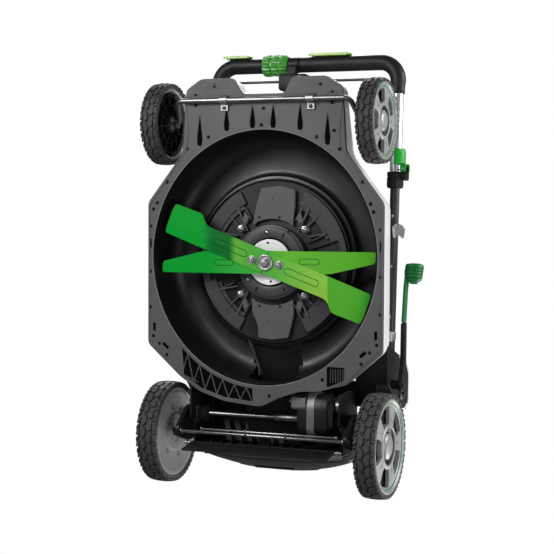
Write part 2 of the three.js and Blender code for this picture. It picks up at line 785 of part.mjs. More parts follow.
function addBrackets() {
  for (const side of [1, -1]) {
    const name = side > 0 ? "left" : "right";
    const x0 = side > 0 ? BRACKET_X : -BRACKET_X - BRACKET_T;
    const x1 = x0 + BRACKET_T;
    const foot = side > 0 ? [200, x0 + 2] : [x1 - 2, -200];
    const boltFrom = side > 0 ? 219 : -276;
    const headFrom = side > 0 ? x1 - 1 : x0 - 4;
    const nutFrom = side > 0 ? 216 : -221;
    const pieces = [
      box(foot[0], foot[1], 182, 210, DECK_TOP + GAP, DECK_TOP + 8),
      cylinderX(5, boltFrom, boltFrom + 57, PIVOT_Y, PIVOT_Z, 16),
      cylinderX(16, headFrom, headFrom + 5, PIVOT_Y, PIVOT_Z, 20),
      cylinderX(9, nutFrom, nutFrom + 5, PIVOT_Y, PIVOT_Z, 6),
    ];
    if (side > 0) {
      pieces.push(cylinderX(11, x1 - 1, LEVER_X - GAP, LEVER_Y, LEVER_Z, 20));
      pieces.push(cylinderX(5, x1, LEVER_X + LEVER_T + 3, LEVER_Y, LEVER_Z, 16));
    }
    black(mower, "handle_bracket_" + name, join(prismX(bracketPlate(), x0, x1), ...pieces));
  }
}

function addHeightLever() {
  const x0 = LEVER_X;
  const x1 = LEVER_X + LEVER_T;
  const hub = cylinderX(15, x0, x1, LEVER_Y, LEVER_Z);
  const arm = prismX(
    [
      [LEVER_Y, LEVER_Z - 13],
      [LEVER_Y, LEVER_Z + 13],
      [232, 246],
      [141, 248],
      [141, 230],
      [232, 227],
    ].reverse(),
    x0,
    x1,
  );
  const bore = cylinderX(5 + RUN, x0 - 1, x1 + 1, LEVER_Y, LEVER_Z, 16);
  black(mower, "height_lever", cut(join(hub, arm), bore));

  const stem = prismX(
    [
      [140, 229],
      [140, 249],
      [60, 262],
      [20, 276],
      [14, 258],
      [56, 242],
    ].reverse(),
    x0,
    x1,
  );
  green(mower, "lever_knob", join(stem, cylinderX(12, x0, x0 + 16, 24, 266), knobSolid()));

  const sector = [];
  for (let i = 0; i <= 8; i += 1) {
    const angle = THREE.MathUtils.degToRad(156 + i * 6);
    sector.push([LEVER_Y + 118 * Math.cos(angle), LEVER_Z + 118 * Math.sin(angle)]);
  }
  for (let i = 8; i >= 0; i -= 1) {
    const angle = THREE.MathUtils.degToRad(156 + i * 6);
    sector.push([LEVER_Y + 92 * Math.cos(angle), LEVER_Z + 92 * Math.sin(angle)]);
  }
  const plate = prismX(sector, 272.6, 278);
  const keep = box(260, 290, 100, 260, DECK_TOP + GAP, 300);
  const foot = box(256, 276, 158, 180, DECK_TOP + GAP, DECK_TOP + 6);
  steel(mower, "height_quadrant", join(geometryOf(solidOf(plate).intersect(solidOf(keep))), foot));
}

function knobSolid() {
  const profile = [
    [0, 290],
    [17, 292],
    [25, 300],
    [26, 310],
    [19, 321],
    [0, 325],
  ];
  const points = profile.map(([r, x]) => new THREE.Vector2(r, x));
  return new THREE.LatheGeometry(points, 24).rotateZ(-Math.PI / 2).translate(0, 24, 266);
}

// Handle: drawn along -Y from its fold pivot, then tilted

function addHandle() {
  const handle = new THREE.Group();
  handle.position.set(0, PIVOT_Y, PIVOT_Z);
  handle.rotation.x = -HANDLE_TILT;
  mower.add(handle);
  const bowY = -HANDLE_LENGTH;
  const legR = TUBE_R - TUBE_T - SLEEVE;
  for (const side of [1, -1]) {
    const name = side > 0 ? "left" : "right";
    const x = side * TUBE_X;
    const leg = cylinderY(legR, bowY + BEND_R + 8, -10, x, 0, 20);
    const knuckle = cylinderX(19, x - 12, x + 12, 0, 0);
    const bore = cylinderX(5 + RUN, x - 20, x + 20, 0, 0, 16);
    black(handle, "lower_tube_" + name, cut(join(leg, knuckle), bore));

    const collar = cylinderY(COLLAR_R, COLLAR_Y, COLLAR_Y + COLLAR_L, x, 0);
    const pinX = x + side * CLAMP_PIN;
    const lug = box(pinX - 7, pinX + 7, COLLAR_Y - 12.5, COLLAR_Y + 20, -14, 14);
    const pin = cylinderZ(CLAMP_PIN_R, -21, 21, pinX, COLLAR_Y - 6, 12);
    const holder = join(collar, lug, pin);
    const hole = cylinderY(TUBE_R + GAP, COLLAR_Y - 20, COLLAR_Y + COLLAR_L - 4, x, 0);
    const legHole = cylinderY(legR + RUN, COLLAR_Y - 20, COLLAR_Y + COLLAR_L + 1, x, 0);
    black(handle, "clamp_collar_" + name, cut(holder, hole, legHole));

    const shape = new THREE.Shape();
    shape.absarc(0, 0, TUBE_R + 10, -Math.PI / 2, Math.PI / 2, false);
    shape.absarc(0, 0, TUBE_R + 2, Math.PI / 2, -Math.PI / 2, true);
    const options = { depth: 40, bevelEnabled: false, curveSegments: 10 };
    const half = new THREE.ExtrudeGeometry(shape, options).rotateX(Math.PI / 2);
    if (side < 0) half.rotateY(Math.PI);
    half.translate(x, COLLAR_Y - 16, 0);
    const ears = [-1, 1].map((end) => {
      const z = end * 17.5;
      return box(pinX - 7, pinX + 7, COLLAR_Y - 20, COLLAR_Y + 1, z - 2.5, z + 2.5);
    });
    const pinHole = cylinderZ(CLAMP_PIN_R + RUN, -30, 30, pinX, COLLAR_Y - 6, 12);
    green(handle, "clamp_lever_" + name, cut(join(half, ...ears), pinHole));
  }

  const start = COLLAR_Y + COLLAR_L - 5;
  const bow = [
    new THREE.Vector3(-TUBE_X, start, 0),
    new THREE.Vector3(-TUBE_X, bowY, 0),
    new THREE.Vector3(TUBE_X, bowY, 0),
    new THREE.Vector3(TUBE_X, start, 0),
  ];
  const innerR = TUBE_R - TUBE_T;
  silver(handle, "upper_tube", tube(bow, BEND_R, TUBE_R, innerR, 16));

  const dialX = [-112, -46];
  const housingX = [-44, -18];
  for (const [name, ends] of [["left", [-16, TUBE_X]], ["right", [dialX[0] - 2, -TUBE_X]]]) {
    const sleeve = [
      new THREE.Vector3(ends[0], bowY, 0),
      new THREE.Vector3(ends[1], bowY, 0),
      new THREE.Vector3(ends[1], bowY + BEND_R + 14, 0),
    ];
    const core = tube(bow, BEND_R, TUBE_R + GAP, 0, 16);
    rubber(handle, "grip_" + name, cut(tube(sleeve, BEND_R, GRIP_R, 0, 16), core));
  }

  const dial = cut(
    cylinderX(27, dialX[0], dialX[1], bowY, 0, 24),
    cylinderX(TUBE_R + RUN, dialX[0] - 1, dialX[1] + 1, bowY, 0),
  );
  green(handle, "speed_dial", dial);

  const clip = cylinderX(GRIP_R + 0.5, housingX[0], housingX[1], bowY, 0);
  const neck = box(housingX[0], housingX[1], bowY + 4, bowY + 34, -24, -8);
  const body = box(-57, 16, bowY + 28, bowY + 68, -46, -9);
  const wire = cylinderX(TUBE_R + GAP, housingX[0] - 1, housingX[1] + 1, bowY, 0);
  const well = cylinderZ(14 + RUN, -47, -40, -2, bowY + 48, 24);
  const stemWell = cylinderZ(6 + RUN, -42, -30, -2, bowY + 48, 16);
  black(handle, "control_housing", cut(join(clip, neck, body), wire, well, stemWell));
  const cap = cylinderZ(14, -52, -44, -2, bowY + 48);
  const stem = cylinderZ(6, -46, -36, -2, bowY + 48, 16);
  green(handle, "start_button", join(cap, stem));

  const pivot = { y: bowY + 68, z: -6 };
  const rest = THREE.MathUtils.degToRad(BAIL_REST);
  const bar = { y: pivot.y + BAIL_REACH * Math.cos(rest), z: pivot.z + BAIL_REACH * Math.sin(rest) };
  const bailEnd = TUBE_X - TUBE_R - 1;
  const bailPath = [
    new THREE.Vector3(-bailEnd, pivot.y, pivot.z),
    new THREE.Vector3(15 - bailEnd, pivot.y, pivot.z),
    new THREE.Vector3(28 - bailEnd, bar.y, bar.z),
    new THREE.Vector3(bailEnd - 28, bar.y, bar.z),
    new THREE.Vector3(bailEnd - 15, pivot.y, pivot.z),
    new THREE.Vector3(bailEnd, pivot.y, pivot.z),
  ];
  black(handle, "bail", tube(bailPath, 7, 3.5, 0, 10));

  for (const [name, x0, x1] of [["left", 8, 112], ["right", -220, -150]]) {
    const y = bowY - GRIP_R - 4;
    const plate = box(x0, x1, y - 4, y, -14, 14);
    green(handle, "drive_paddle_" + name, plate);
  }
}

addDeck();
addSpindle();
addHood();
addWheels(FRONT, FRONT.r, "front");
addWheels(REAR, REAR.r, "rear");
addFrontAxle();
addRearCarriage();
addDrive();
addRear();
addBrackets();
addHeightLever();
addHandle();

// The origin: the middle of the whole mower's box, on the ground.
mower.updateMatrixWorld(true);
const whole = new THREE.Box3().setFromObject(mower);
const middle = whole.getCenter(new THREE.Vector3());
mower.position.set(-middle.x, -middle.y, -whole.min.z);

export default mower;
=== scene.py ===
import json
import math
import bmesh
import bpy
from mathutils import Matrix, Vector

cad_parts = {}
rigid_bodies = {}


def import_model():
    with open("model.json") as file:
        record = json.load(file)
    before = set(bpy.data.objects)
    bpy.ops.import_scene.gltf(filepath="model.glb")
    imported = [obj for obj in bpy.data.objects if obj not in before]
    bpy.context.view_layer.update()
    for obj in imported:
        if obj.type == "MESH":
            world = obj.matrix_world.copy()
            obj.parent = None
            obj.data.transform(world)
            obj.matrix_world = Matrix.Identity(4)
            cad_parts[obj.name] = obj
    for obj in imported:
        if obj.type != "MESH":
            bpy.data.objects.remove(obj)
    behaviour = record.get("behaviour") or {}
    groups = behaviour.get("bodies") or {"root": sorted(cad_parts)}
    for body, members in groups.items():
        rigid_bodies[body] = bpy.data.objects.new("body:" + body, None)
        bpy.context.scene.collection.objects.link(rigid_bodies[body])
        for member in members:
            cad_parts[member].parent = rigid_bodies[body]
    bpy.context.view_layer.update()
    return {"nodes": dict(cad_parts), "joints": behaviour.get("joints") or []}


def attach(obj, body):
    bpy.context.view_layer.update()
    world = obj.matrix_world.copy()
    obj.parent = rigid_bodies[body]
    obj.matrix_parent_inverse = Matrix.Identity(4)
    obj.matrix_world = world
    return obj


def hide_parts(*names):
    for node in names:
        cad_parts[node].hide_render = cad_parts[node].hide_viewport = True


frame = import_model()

# Push lawn mower. Numbers are millimetres from the blade axis at ground level:
# x to the operator's left, y to the rear, z up. at() turns them into scene metres.
joints = {joint["name"]: joint for joint in frame["joints"]}
bladeAxis = joints["spindle_spin"]["pos_m"]
print("frame loaded:", len(frame["nodes"]), "nodes")


def at(x, y, z):
    return Vector((bladeAxis[0] + x / 1000, bladeAxis[1] + y / 1000, z / 1000))


def socket(node, name, value):
    node.inputs[name].default_value = value


def newGroup(name, inputs, outputs):
    group = bpy.data.node_groups.new(name, "ShaderNodeTree")
    for label, kind, default in inputs:
        item = group.interface.new_socket(label, in_out="INPUT", socket_type=kind)
        item.default_value = default
    for label, kind in outputs:
        group.interface.new_socket(label, in_out="OUTPUT", socket_type=kind)
    return group, group.nodes.new("NodeGroupInput"), group.nodes.new("NodeGroupOutput")


def noiseNode(tree, scale, detail=3.0, rough=0.55):
    node = tree.nodes.new("ShaderNodeTexNoise")
    socket(node, "Scale", scale)
    socket(node, "Detail", detail)
    socket(node, "Roughness", rough)
    return node


def mathNode(tree, operation, a, b, clamp=False):
    node = tree.nodes.new("ShaderNodeMath")
    node.operation = operation
    node.use_clamp = clamp
    for index, value in enumerate((a, b)):
        if isinstance(value, (int, float)):
            node.inputs[index].default_value = value
        else:
            tree.links.new(value, node.inputs[index])
    return node.outputs[0]


def remap(tree, value, low, high, toLow, toHigh):
    node = tree.nodes.new("ShaderNodeMapRange")
    tree.links.new(value, node.inputs["Value"])
    for label, number in zip(("From Min", "From Max", "To Min", "To Max"), (low, high, toLow, toHigh)):
        socket(node, label, number)
    return node.outputs["Result"]


def buildGrain():
    # Fine pebbled skin of moulded plastic or cast metal: a height, and a slow mottling.
    group, gIn, gOut = newGroup(
        "mouldedGrain",
        [("Scale", "NodeSocketFloat", 900.0), ("Mottle Scale", "NodeSocketFloat", 14.0)],
        [("Height", "NodeSocketFloat"), ("Mottle", "NodeSocketFloat")],
    )
    coords = group.nodes.new("ShaderNodeTexCoord")
    fine = noiseNode(group, 900, 2)
    slow = noiseNode(group, 14, 4)
    group.links.new(coords.outputs["Object"], fine.inputs["Vector"])
    group.links.new(coords.outputs["Object"], slow.inputs["Vector"])
    group.links.new(gIn.outputs["Scale"], fine.inputs["Scale"])
    group.links.new(gIn.outputs["Mottle Scale"], slow.inputs["Scale"])
    group.links.new(fine.outputs["Fac"], gOut.inputs["Height"])
    group.links.new(slow.outputs["Fac"], gOut.inputs["Mottle"])
    return group


def buildScuffs():
    # Thin scratches running mostly one way, and worn patches where grass and grit rub.
    group, gIn, gOut = newGroup(
        "scuffMarks",
        [("Scale", "NodeSocketFloat", 30.0), ("Amount", "NodeSocketFloat", 0.3)],
        [("Scratch", "NodeSocketFloat"), ("Rub", "NodeSocketFloat")],
    )
    coords = group.nodes.new("ShaderNodeTexCoord")
    stretch = group.nodes.new("ShaderNodeMapping")
    socket(stretch, "Scale", (1.0, 14.0, 5.0))
    socket(stretch, "Rotation", (0.3, 0.2, 0.7))
    fine = noiseNode(group, 30, 6, 0.7)
    rub = noiseNode(group, 9, 5, 0.65)
    group.links.new(coords.outputs["Object"], stretch.inputs["Vector"])
    group.links.new(stretch.outputs["Vector"], fine.inputs["Vector"])
    group.links.new(coords.outputs["Object"], rub.inputs["Vector"])
    group.links.new(gIn.outputs["Scale"], fine.inputs["Scale"])
    scratch = remap(group, fine.outputs["Fac"], 0.60, 0.68, 0.0, 1.0)
    patch = remap(group, rub.outputs["Fac"], 0.52, 0.70, 0.0, 1.0)
    for value, label in ((scratch, "Scratch"), (patch, "Rub")):
        product = mathNode(group, "MULTIPLY", value, gIn.outputs["Amount"], True)
        group.links.new(product, gOut.inputs[label])
    return group


def buildBrush():
    # Drawn or turned lines along one axis of the object.
    group, gIn, gOut = newGroup(
        "brushedLines",
        [("Stretch", "NodeSocketVector", (2.0, 400.0, 400.0))],
        [("Lines", "NodeSocketFloat")],
    )
    coords = group.nodes.new("ShaderNodeTexCoord")
    stretch = group.nodes.new("ShaderNodeMapping")
    lines = noiseNode(group, 3, 4, 0.6)
    group.links.new(coords.outputs["Object"], stretch.inputs["Vector"])
    group.links.new(gIn.outputs["Stretch"], stretch.inputs["Scale"])
    group.links.new(stretch.outputs["Vector"], lines.inputs["Vector"])
    group.links.new(lines.outputs["Fac"], gOut.inputs["Lines"])
    return group


groups = {"grain": buildGrain(), "scuffs": buildScuffs(), "brush": buildBrush()}

finishes = {
    # clean and worn colour, roughness low and high, grain scale and height, amount of scuffs, then
    # metal, coat and shine where they differ from the usual, and the slot
    "charcoal": dict(base=(0.082, 0.083, 0.086), worn=(0.13, 0.13, 0.134), rough=(0.42, 0.6), grain=1100,
                     bump=0.10, scuffs=0.35, slot="charcoal_plastic"),
    "hoodPlastic": dict(base=(0.045, 0.047, 0.051), worn=(0.10, 0.10, 0.105), rough=(0.34, 0.5), grain=900,
                        bump=0.08, scuffs=0.2, slot="charcoal_plastic"),
    "blackPlastic": dict(base=(0.007, 0.0073, 0.008), worn=(0.028, 0.028, 0.03), rough=(0.34, 0.5), grain=800,
                         bump=0.08, scuffs=0.25, shine=0.22, slot="black_plastic"),
    # painted shadow: a near-black for the plate seen through the slots and holes of the rim
    "paintedShadowBlack": dict(base=(0.002, 0.002, 0.002), worn=(0.004, 0.004, 0.004), rough=(0.8, 0.9), grain=800,
                        bump=0.05, scuffs=0.1, shine=0.05, slot="black_plastic"),
    "chamberBlack": dict(base=(0.006, 0.0063, 0.0066), worn=(0.02, 0.02, 0.021), rough=(0.3, 0.48), grain=500,
                         bump=0.08, scuffs=0.4, slot="black_plastic"),
    "silverShell": dict(base=(0.72, 0.73, 0.74), worn=(0.55, 0.55, 0.56), rough=(0.3, 0.42), grain=1500,
                        bump=0.03, scuffs=0.12, metal=0.15, coat=0.2, slot="silver_shell"),
    "wheelSilver": dict(base=(0.30, 0.305, 0.31), worn=(0.2, 0.2, 0.21), rough=(0.28, 0.42), grain=1500,
                        bump=0.04, scuffs=0.25, metal=0.2, coat=0.2, slot="wheel_silver"),
    "machinedDisc": dict(base=(0.95, 0.95, 0.94), worn=(0.8, 0.8, 0.8), rough=(0.3, 0.4), grain=1500,
                         bump=0.03, scuffs=0.15, metal=0.1, slot="cast_aluminium"),
    "strapGrey": dict(base=(0.2, 0.2, 0.205), worn=(0.12, 0.12, 0.12), rough=(0.34, 0.5), grain=900,
                      bump=0.06, scuffs=0.3, metal=0.5, slot="black_plastic"),
    # painted shade: dark green for the lines along the blade grooves
    "grooveShadeGreen": dict(base=(0.004, 0.085, 0.012), worn=(0.01, 0.14, 0.02), rough=(0.5, 0.6), grain=1200,
                        bump=0.03, scuffs=0.2, shine=0.1, slot="blade_green"),
    "bandGrey": dict(base=(0.045, 0.046, 0.048), worn=(0.09, 0.09, 0.092), rough=(0.4, 0.56), grain=1100,
                     bump=0.08, scuffs=0.3, shine=0.35, slot="charcoal_plastic"),
    "dustDisc": dict(base=(0.23, 0.235, 0.24), worn=(0.14, 0.14, 0.145), rough=(0.45, 0.6), grain=900,
                     bump=0.06, scuffs=0.3, slot="wheel_silver"),
    "tyreRubber": dict(base=(0.040, 0.040, 0.041), worn=(0.10, 0.098, 0.093), rough=(0.62, 0.82), grain=1300,
                       bump=0.28, scuffs=0.55, slot="tyre_rubber"),
    "flapRubber": dict(base=(0.009, 0.009, 0.0095), worn=(0.03, 0.03, 0.029), rough=(0.6, 0.8), grain=700,
                       bump=0.2, scuffs=0.3, shine=0.25, slot="flap_rubber"),
    "gripFoam": dict(base=(0.008, 0.008, 0.009), worn=(0.02, 0.02, 0.022), rough=(0.4, 0.55), grain=650,
                     bump=0.32, scuffs=0.2, shine=0.3, slot="grip_foam"),
    "greenPlastic": dict(base=(0.006, 0.33, 0.03), worn=(0.14, 0.46, 0.05), rough=(0.28, 0.4), grain=1200,
                         bump=0.04, scuffs=0.5, shine=0.3, slot="green_plastic"),
    "limePlastic": dict(base=(0.30, 0.52, 0.045), worn=(0.12, 0.38, 0.05), rough=(0.28, 0.4), grain=1200,
                        bump=0.04, scuffs=0.6, coat=0.2, slot="green_plastic"),
    "leverGreen": dict(base=(0.004, 0.14, 0.03), worn=(0.02, 0.24, 0.05), rough=(0.34, 0.46), grain=1200,
                       bump=0.04, scuffs=0.4, shine=0.3, slot="green_plastic"),
    "dialGreen": dict(base=(0.045, 0.30, 0.03), worn=(0.20, 0.42, 0.05), rough=(0.28, 0.4), grain=1200,
                      bump=0.04, scuffs=0.6, coat=0.2, slot="green_plastic"),
    "tubeBlack": dict(base=(0.02, 0.0205, 0.022), worn=(0.09, 0.09, 0.092), rough=(0.26, 0.4), grain=1600,
                      bump=0.03, scuffs=0.25, metal=0.4, coat=0.2, slot="black_tube"),
    "bailPaint": dict(base=(0.03, 0.03, 0.032), worn=(0.12, 0.12, 0.12), rough=(0.3, 0.45), grain=1600,
                      bump=0.03, scuffs=0.3, metal=0.3, slot="bail_wire"),
}


def newMaterial(name):
    material = bpy.data.materials.new(name)
    material.use_nodes = True
    return material, material.node_tree, material.node_tree.nodes["Principled BSDF"]


def groupNode(tree, group, name, value):
    node = tree.nodes.new("ShaderNodeGroup")
    node.node_tree = groups[group]
    socket(node, name, value)
    return node


def mixNode(tree, first, second):
    node = tree.nodes.new("ShaderNodeMix")
    node.data_type = "RGBA"
    socket(node, "A", (*first, 1))
    socket(node, "B", (*second, 1))
    return node


def addRelief(tree, shader, height, strength, distance):
    relief = tree.nodes.new("ShaderNodeBump")
    socket(relief, "Strength", strength)
    socket(relief, "Distance", distance)
    tree.links.new(height, relief.inputs["Height"])
    tree.links.new(relief.outputs["Normal"], shader.inputs["Normal"])


def plasticMaterial(name, base, worn, rough, grain, bump, scuffs, slot, metal=0.0, coat=0.0, shine=0.5):
    material, tree, shader = newMaterial(name)
    skin = groupNode(tree, "grain", "Scale", grain)
    marks = groupNode(tree, "scuffs", "Amount", scuffs)
    tone = mixNode(tree, base, worn)
    wear = mathNode(tree, "ADD", marks.outputs["Rub"], marks.outputs["Scratch"], True)
    mottled = mathNode(tree, "MULTIPLY", wear, remap(tree, skin.outputs["Mottle"], 0.3, 0.7, 0.45, 1.0), True)
    tree.links.new(mottled, tone.inputs["Factor"])
    tree.links.new(tone.outputs["Result"], shader.inputs["Base Color"])
    tree.links.new(remap(tree, skin.outputs["Mottle"], 0.3, 0.7, *rough), shader.inputs["Roughness"])
    addRelief(tree, shader, skin.outputs["Height"], bump, 0.0006)
    socket(shader, "Metallic", metal)
    socket(shader, "Specular IOR Level", shine)
    socket(shader, "Coat Weight", coat)
    socket(shader, "Coat Roughness", 0.2)
    material["slot"] = slot
    return material


def metalMaterial(name, base, dull, rough, stretch, slot):
    material, tree, shader = newMaterial(name)
    lines = groupNode(tree, "brush", "Stretch", stretch)
    marks = groupNode(tree, "scuffs", "Amount", 0.5)
    tone = mixNode(tree, base, dull)
    tree.links.new(marks.outputs["Rub"], tone.inputs["Factor"])
    tree.links.new(tone.outputs["Result"], shader.inputs["Base Color"])
    tree.links.new(remap(tree, lines.outputs["Lines"], 0.3, 0.7, *rough), shader.inputs["Roughness"])
    addRelief(tree, shader, lines.outputs["Lines"], 0.05, 0.0004)
    socket(shader, "Metallic", 0.92)
    material["slot"] = slot
    return material


materials = {name: plasticMaterial(name, **values) for name, values in finishes.items()}
metals = {
    # clean and dull colour, roughness low and high, stretch of the drawn lines, slot
    "steel": ((0.52, 0.52, 0.53), (0.25, 0.24, 0.23), (0.24, 0.42), (3, 500, 500), "bright_steel"),
    "castAluminium": ((0.86, 0.86, 0.86), (0.62, 0.62, 0.62), (0.3, 0.45), (60, 60, 60), "cast_aluminium"),
    "axleSteel": ((0.27, 0.27, 0.285), (0.13, 0.13, 0.13), (0.26, 0.42), (3, 500, 500), "bright_steel"),
    "clipSteel": ((0.40, 0.40, 0.41), (0.2, 0.2, 0.2), (0.3, 0.45), (60, 60, 60), "bright_steel"),
    "silverTube": ((0.72, 0.73, 0.74), (0.5, 0.5, 0.51), (0.22, 0.36), (500, 4, 500), "silver_tube"),
}
for name, values in metals.items():
    materials[name] = metalMaterial(name, *values)


def bladeMaterial(name, stops):
    # Powder coat with a fine orange peel, from deep green at one end to lime. The ramp paints light and shade
    # along the blade: a painted shade band where the twisted part at one end turns from the lamps, and a
    # painted highlight in lime where the other end faces them.
    material = plasticMaterial(name, deepGreen, paintedHighlightLime, (0.44, 0.56), 1400, 0.05, 0.3, "blade_green",
                               shine=0.1)
    tree = material.node_tree
    shader = tree.nodes["Principled BSDF"]
    coords = tree.nodes.new("ShaderNodeTexCoord")
    place = tree.nodes.new("ShaderNodeMapping")
    socket(place, "Location", (-bladeAxis[0] / bladeSpan, -bladeAxis[1] / bladeSpan, 0.0))
    socket(place, "Scale", (1 / bladeSpan, 1 / bladeSpan, 1.0))
    tree.links.new(coords.outputs["Object"], place.inputs["Vector"])
    split = tree.nodes.new("ShaderNodeSeparateXYZ")
    tree.links.new(place.outputs["Vector"], split.inputs["Vector"])
    ramp = tree.nodes.new("ShaderNodeValToRGB")
    ramp.color_ramp.elements.remove(ramp.color_ramp.elements[0])
    ramp.color_ramp.elements[0].position = stops[0][0]
    ramp.color_ramp.elements[0].color = (*stops[0][1], 1)
    for position, colour in stops[1:]:
        ramp.color_ramp.elements.new(position).color = (*colour, 1)
    along = remap(tree, split.outputs["X"], -1.0, 1.0, 0.0, 1.0)
    tree.links.new(along, ramp.inputs["Fac"])
    grime = tree.nodes.new("ShaderNodeMix")
    grime.data_type = "RGBA"
    socket(grime, "B", (0.05, 0.09, 0.03, 1))
    marks = next(n for n in tree.nodes if n.type == "GROUP" and n.node_tree == groups["scuffs"])
    tree.links.new(mathNode(tree, "MULTIPLY", marks.outputs["Scratch"], 0.5), grime.inputs["Factor"])
    tree.links.new(ramp.outputs["Color"], grime.inputs["A"])
    tree.links.new(grime.outputs["Result"], shader.inputs["Base Color"])
    return material


# deepGreen is the blades' paint; the darker and lighter greens below are painted shade and painted light on the
# twisted bands
deepGreen = (0.0, 0.33, 0.028)
midGreen = (0.085, 0.42, 0.03)
paintedHighlightLime = (0.26, 0.58, 0.07)
paintedShadeGreen = (0.0, 0.15, 0.02)
bladeSpan = 0.266  # half the length of a blade in metres
materials["lowerBladePaintAndShade"] = bladeMaterial(
    "lowerBladePaintAndShade",
    [(0.0, deepGreen), (0.20, deepGreen), (0.24, paintedShadeGreen), (0.33, paintedShadeGreen), (0.36, (0.12, 0.45, 0.05)),
     (0.5, (0.06, 0.42, 0.05)), (0.72, paintedHighlightLime), (0.785, paintedHighlightLime), (0.79, midGreen), (0.93, midGreen),
     (1.0, deepGreen)])
# the upper blade's ramp is painted light as well: lighter towards the end that faces the lamps
materials["upperBladePaintAndShade"] = bladeMaterial(
    "upperBladePaintAndShade",
    [(0.0, deepGreen), (0.22, deepGreen), (0.45, (0.05, 0.42, 0.05)), (0.6, (0.13, 0.48, 0.04)),
     (1.0, (0.09, 0.40, 0.02))])


def lensMaterial():
    material, tree, shader = newMaterial("lampLens")
    ribs = tree.nodes.new("ShaderNodeTexWave")
    socket(ribs, "Scale", 60)
    coords = tree.nodes.new("ShaderNodeTexCoord")
    tree.links.new(coords.outputs["Object"], ribs.inputs["Vector"])
    addRelief(tree, shader, ribs.outputs["Fac"], 0.4, 0.001)
    socket(shader, "Base Color", (0.8, 0.84, 0.87, 1))
    socket(shader, "Roughness", 0.08)
    socket(shader, "Coat Weight", 0.6)
    material["slot"] = "lamp_lens"
    return material


materials["lampLens"] = lensMaterial()
print("materials made:", len(materials))


# faces of a box whose corners run by x, y and z, and of a box given as two loops of four corners
boxFaces = [(0, 1, 3, 2), (4, 6, 7, 5), (0, 4, 5, 1), (2, 3, 7, 6), (0, 2, 6, 4), (1, 5, 7, 3)]
loopFaces = [(0, 1, 2, 3), (4, 7, 6, 5), (0, 4, 5, 1), (1, 5, 6, 2), (2, 6, 7, 3), (3, 7, 4, 0)]


class Shape:
    # Gathers vertices and faces of one piece in millimetres, then becomes an object.
    def __init__(self):
        self.verts = []
        self.faces = []

    def add(self, verts, faces, move=None):
        start = len(self.verts)
        self.verts += [tuple(move(*v)) if move else tuple(v) for v in verts]
        self.faces += [tuple(start + i for i in face) for face in faces]
        return self

    def block(self, low, high):
        xs, ys, zs = zip(low, high)
        verts = [(x, y, z) for x in xs for y in ys for z in zs]
        return self.add(verts, boxFaces)

    def prism(self, outline, z0, z1, move=None):
        count = len(outline)
        verts = [(x, y, z0) for x, y in outline] + [(x, y, z1) for x, y in outline]
        faces = [tuple(range(count))[::-1], tuple(range(count, 2 * count))]
        faces += [(i, (i + 1) % count, count + (i + 1) % count, count + i) for i in range(count)]
        return self.add(verts, faces, move)

    def rings(self, rings, closed=False, caps=True, move=None):
        count = len(rings[0])
        verts = [p for ring in rings for p in ring]
        faces = []
        for i in range(len(rings) if closed else len(rings) - 1):
            a, b = i * count, ((i + 1) % len(rings)) * count
            faces += [(a + j, a + (j + 1) % count, b + (j + 1) % count, b + j) for j in range(count)]
        if caps and not closed:
            last = (len(rings) - 1) * count
            faces += [tuple(range(count))[::-1], tuple(range(last, last + count))]
        return self.add(verts, faces, move)

    def lathe(self, profile, segments, move=None, closed=True):
        # profile of (radius, along); the axis is x, and closed joins the last point to the first
        rings = []
        for radius, along in profile:
            rings.append([(along, radius * math.cos(2 * math.pi * i / segments),
                           radius * math.sin(2 * math.pi * i / segments)) for i in range(segments)])
        return self.rings(rings, closed, not closed, move)

    def build(self, name, place=at, smooth=32, bevel=0.0, steps=2, bevelAngle=30):
        mesh = bpy.data.meshes.new(name)
        mesh.from_pydata([place(*v) for v in self.verts], [], self.faces)
        bm = bmesh.new()
        bm.from_mesh(mesh)
        bmesh.ops.remove_doubles(bm, verts=bm.verts, dist=1e-6)
        bmesh.ops.recalc_face_normals(bm, faces=bm.faces)
        limit = math.radians(smooth)
        for face in bm.faces:
            face.smooth = True
        for edge in bm.edges:
            edge.smooth = len(edge.link_faces) == 2 and edge.calc_face_angle(4) < limit
        bm.to_mesh(mesh)
        bm.free()
        piece = bpy.data.objects.new(name, mesh)
        bpy.context.scene.collection.objects.link(piece)
        if bevel:
            roundEdges(piece, bevel, steps, bevelAngle)
        return piece


def roundEdges(piece, width, steps, angle):
    modifier = piece.modifiers.new("edges", "BEVEL")
    modifier.width = width / 1000
    modifier.segments = steps
    modifier.limit_method = "ANGLE"
    modifier.angle_limit = math.radians(angle)
    modifier.miter_outer = "MITER_ARC"


def finishPiece(piece, body, finish, replaces=()):
    material = materials[finish]
    piece.data.materials.clear()
    piece.data.materials.append(material)
    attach(piece, body)
    if replaces:
        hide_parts(*replaces)


def turned(x, y, z):
    # moves a lathe along x to an axle point
    return lambda a, b, c: (a + x, b + y, c + z)


def upright(x, y, z):
    # stands a lathe along x up on z
    return lambda a, b, c: (b + x, c + y, a + z)


def polar(radius, angle):
    return radius * math.cos(math.radians(angle)), radius * math.sin(math.radians(angle))


def arc(radius, start, end, steps, cx=0.0, cy=0.0):
    angles = [math.radians(start + (end - start) * i / steps) for i in range(steps + 1)]
    return [(cx + radius * math.cos(a), cy + radius * math.sin(a)) for a in angles]


def roundCorners(points, radius, steps=5):
    # replaces each corner of a closed outline by a round
    result = []
    for i, point in enumerate(points):
        corner = Vector(point)
        back = Vector(points[i - 1]) - corner
        ahead = Vector(points[(i + 1) % len(points)]) - corner
        reach = min(radius, back.length * 0.45, ahead.length * 0.45)
        start, end = corner + back.normalized() * reach, corner + ahead.normalized() * reach
        for step in range(steps + 1):
            t = step / steps
            result.append(tuple(start * (1 - t) ** 2 + corner * 2 * t * (1 - t) + end * t * t))
    return result


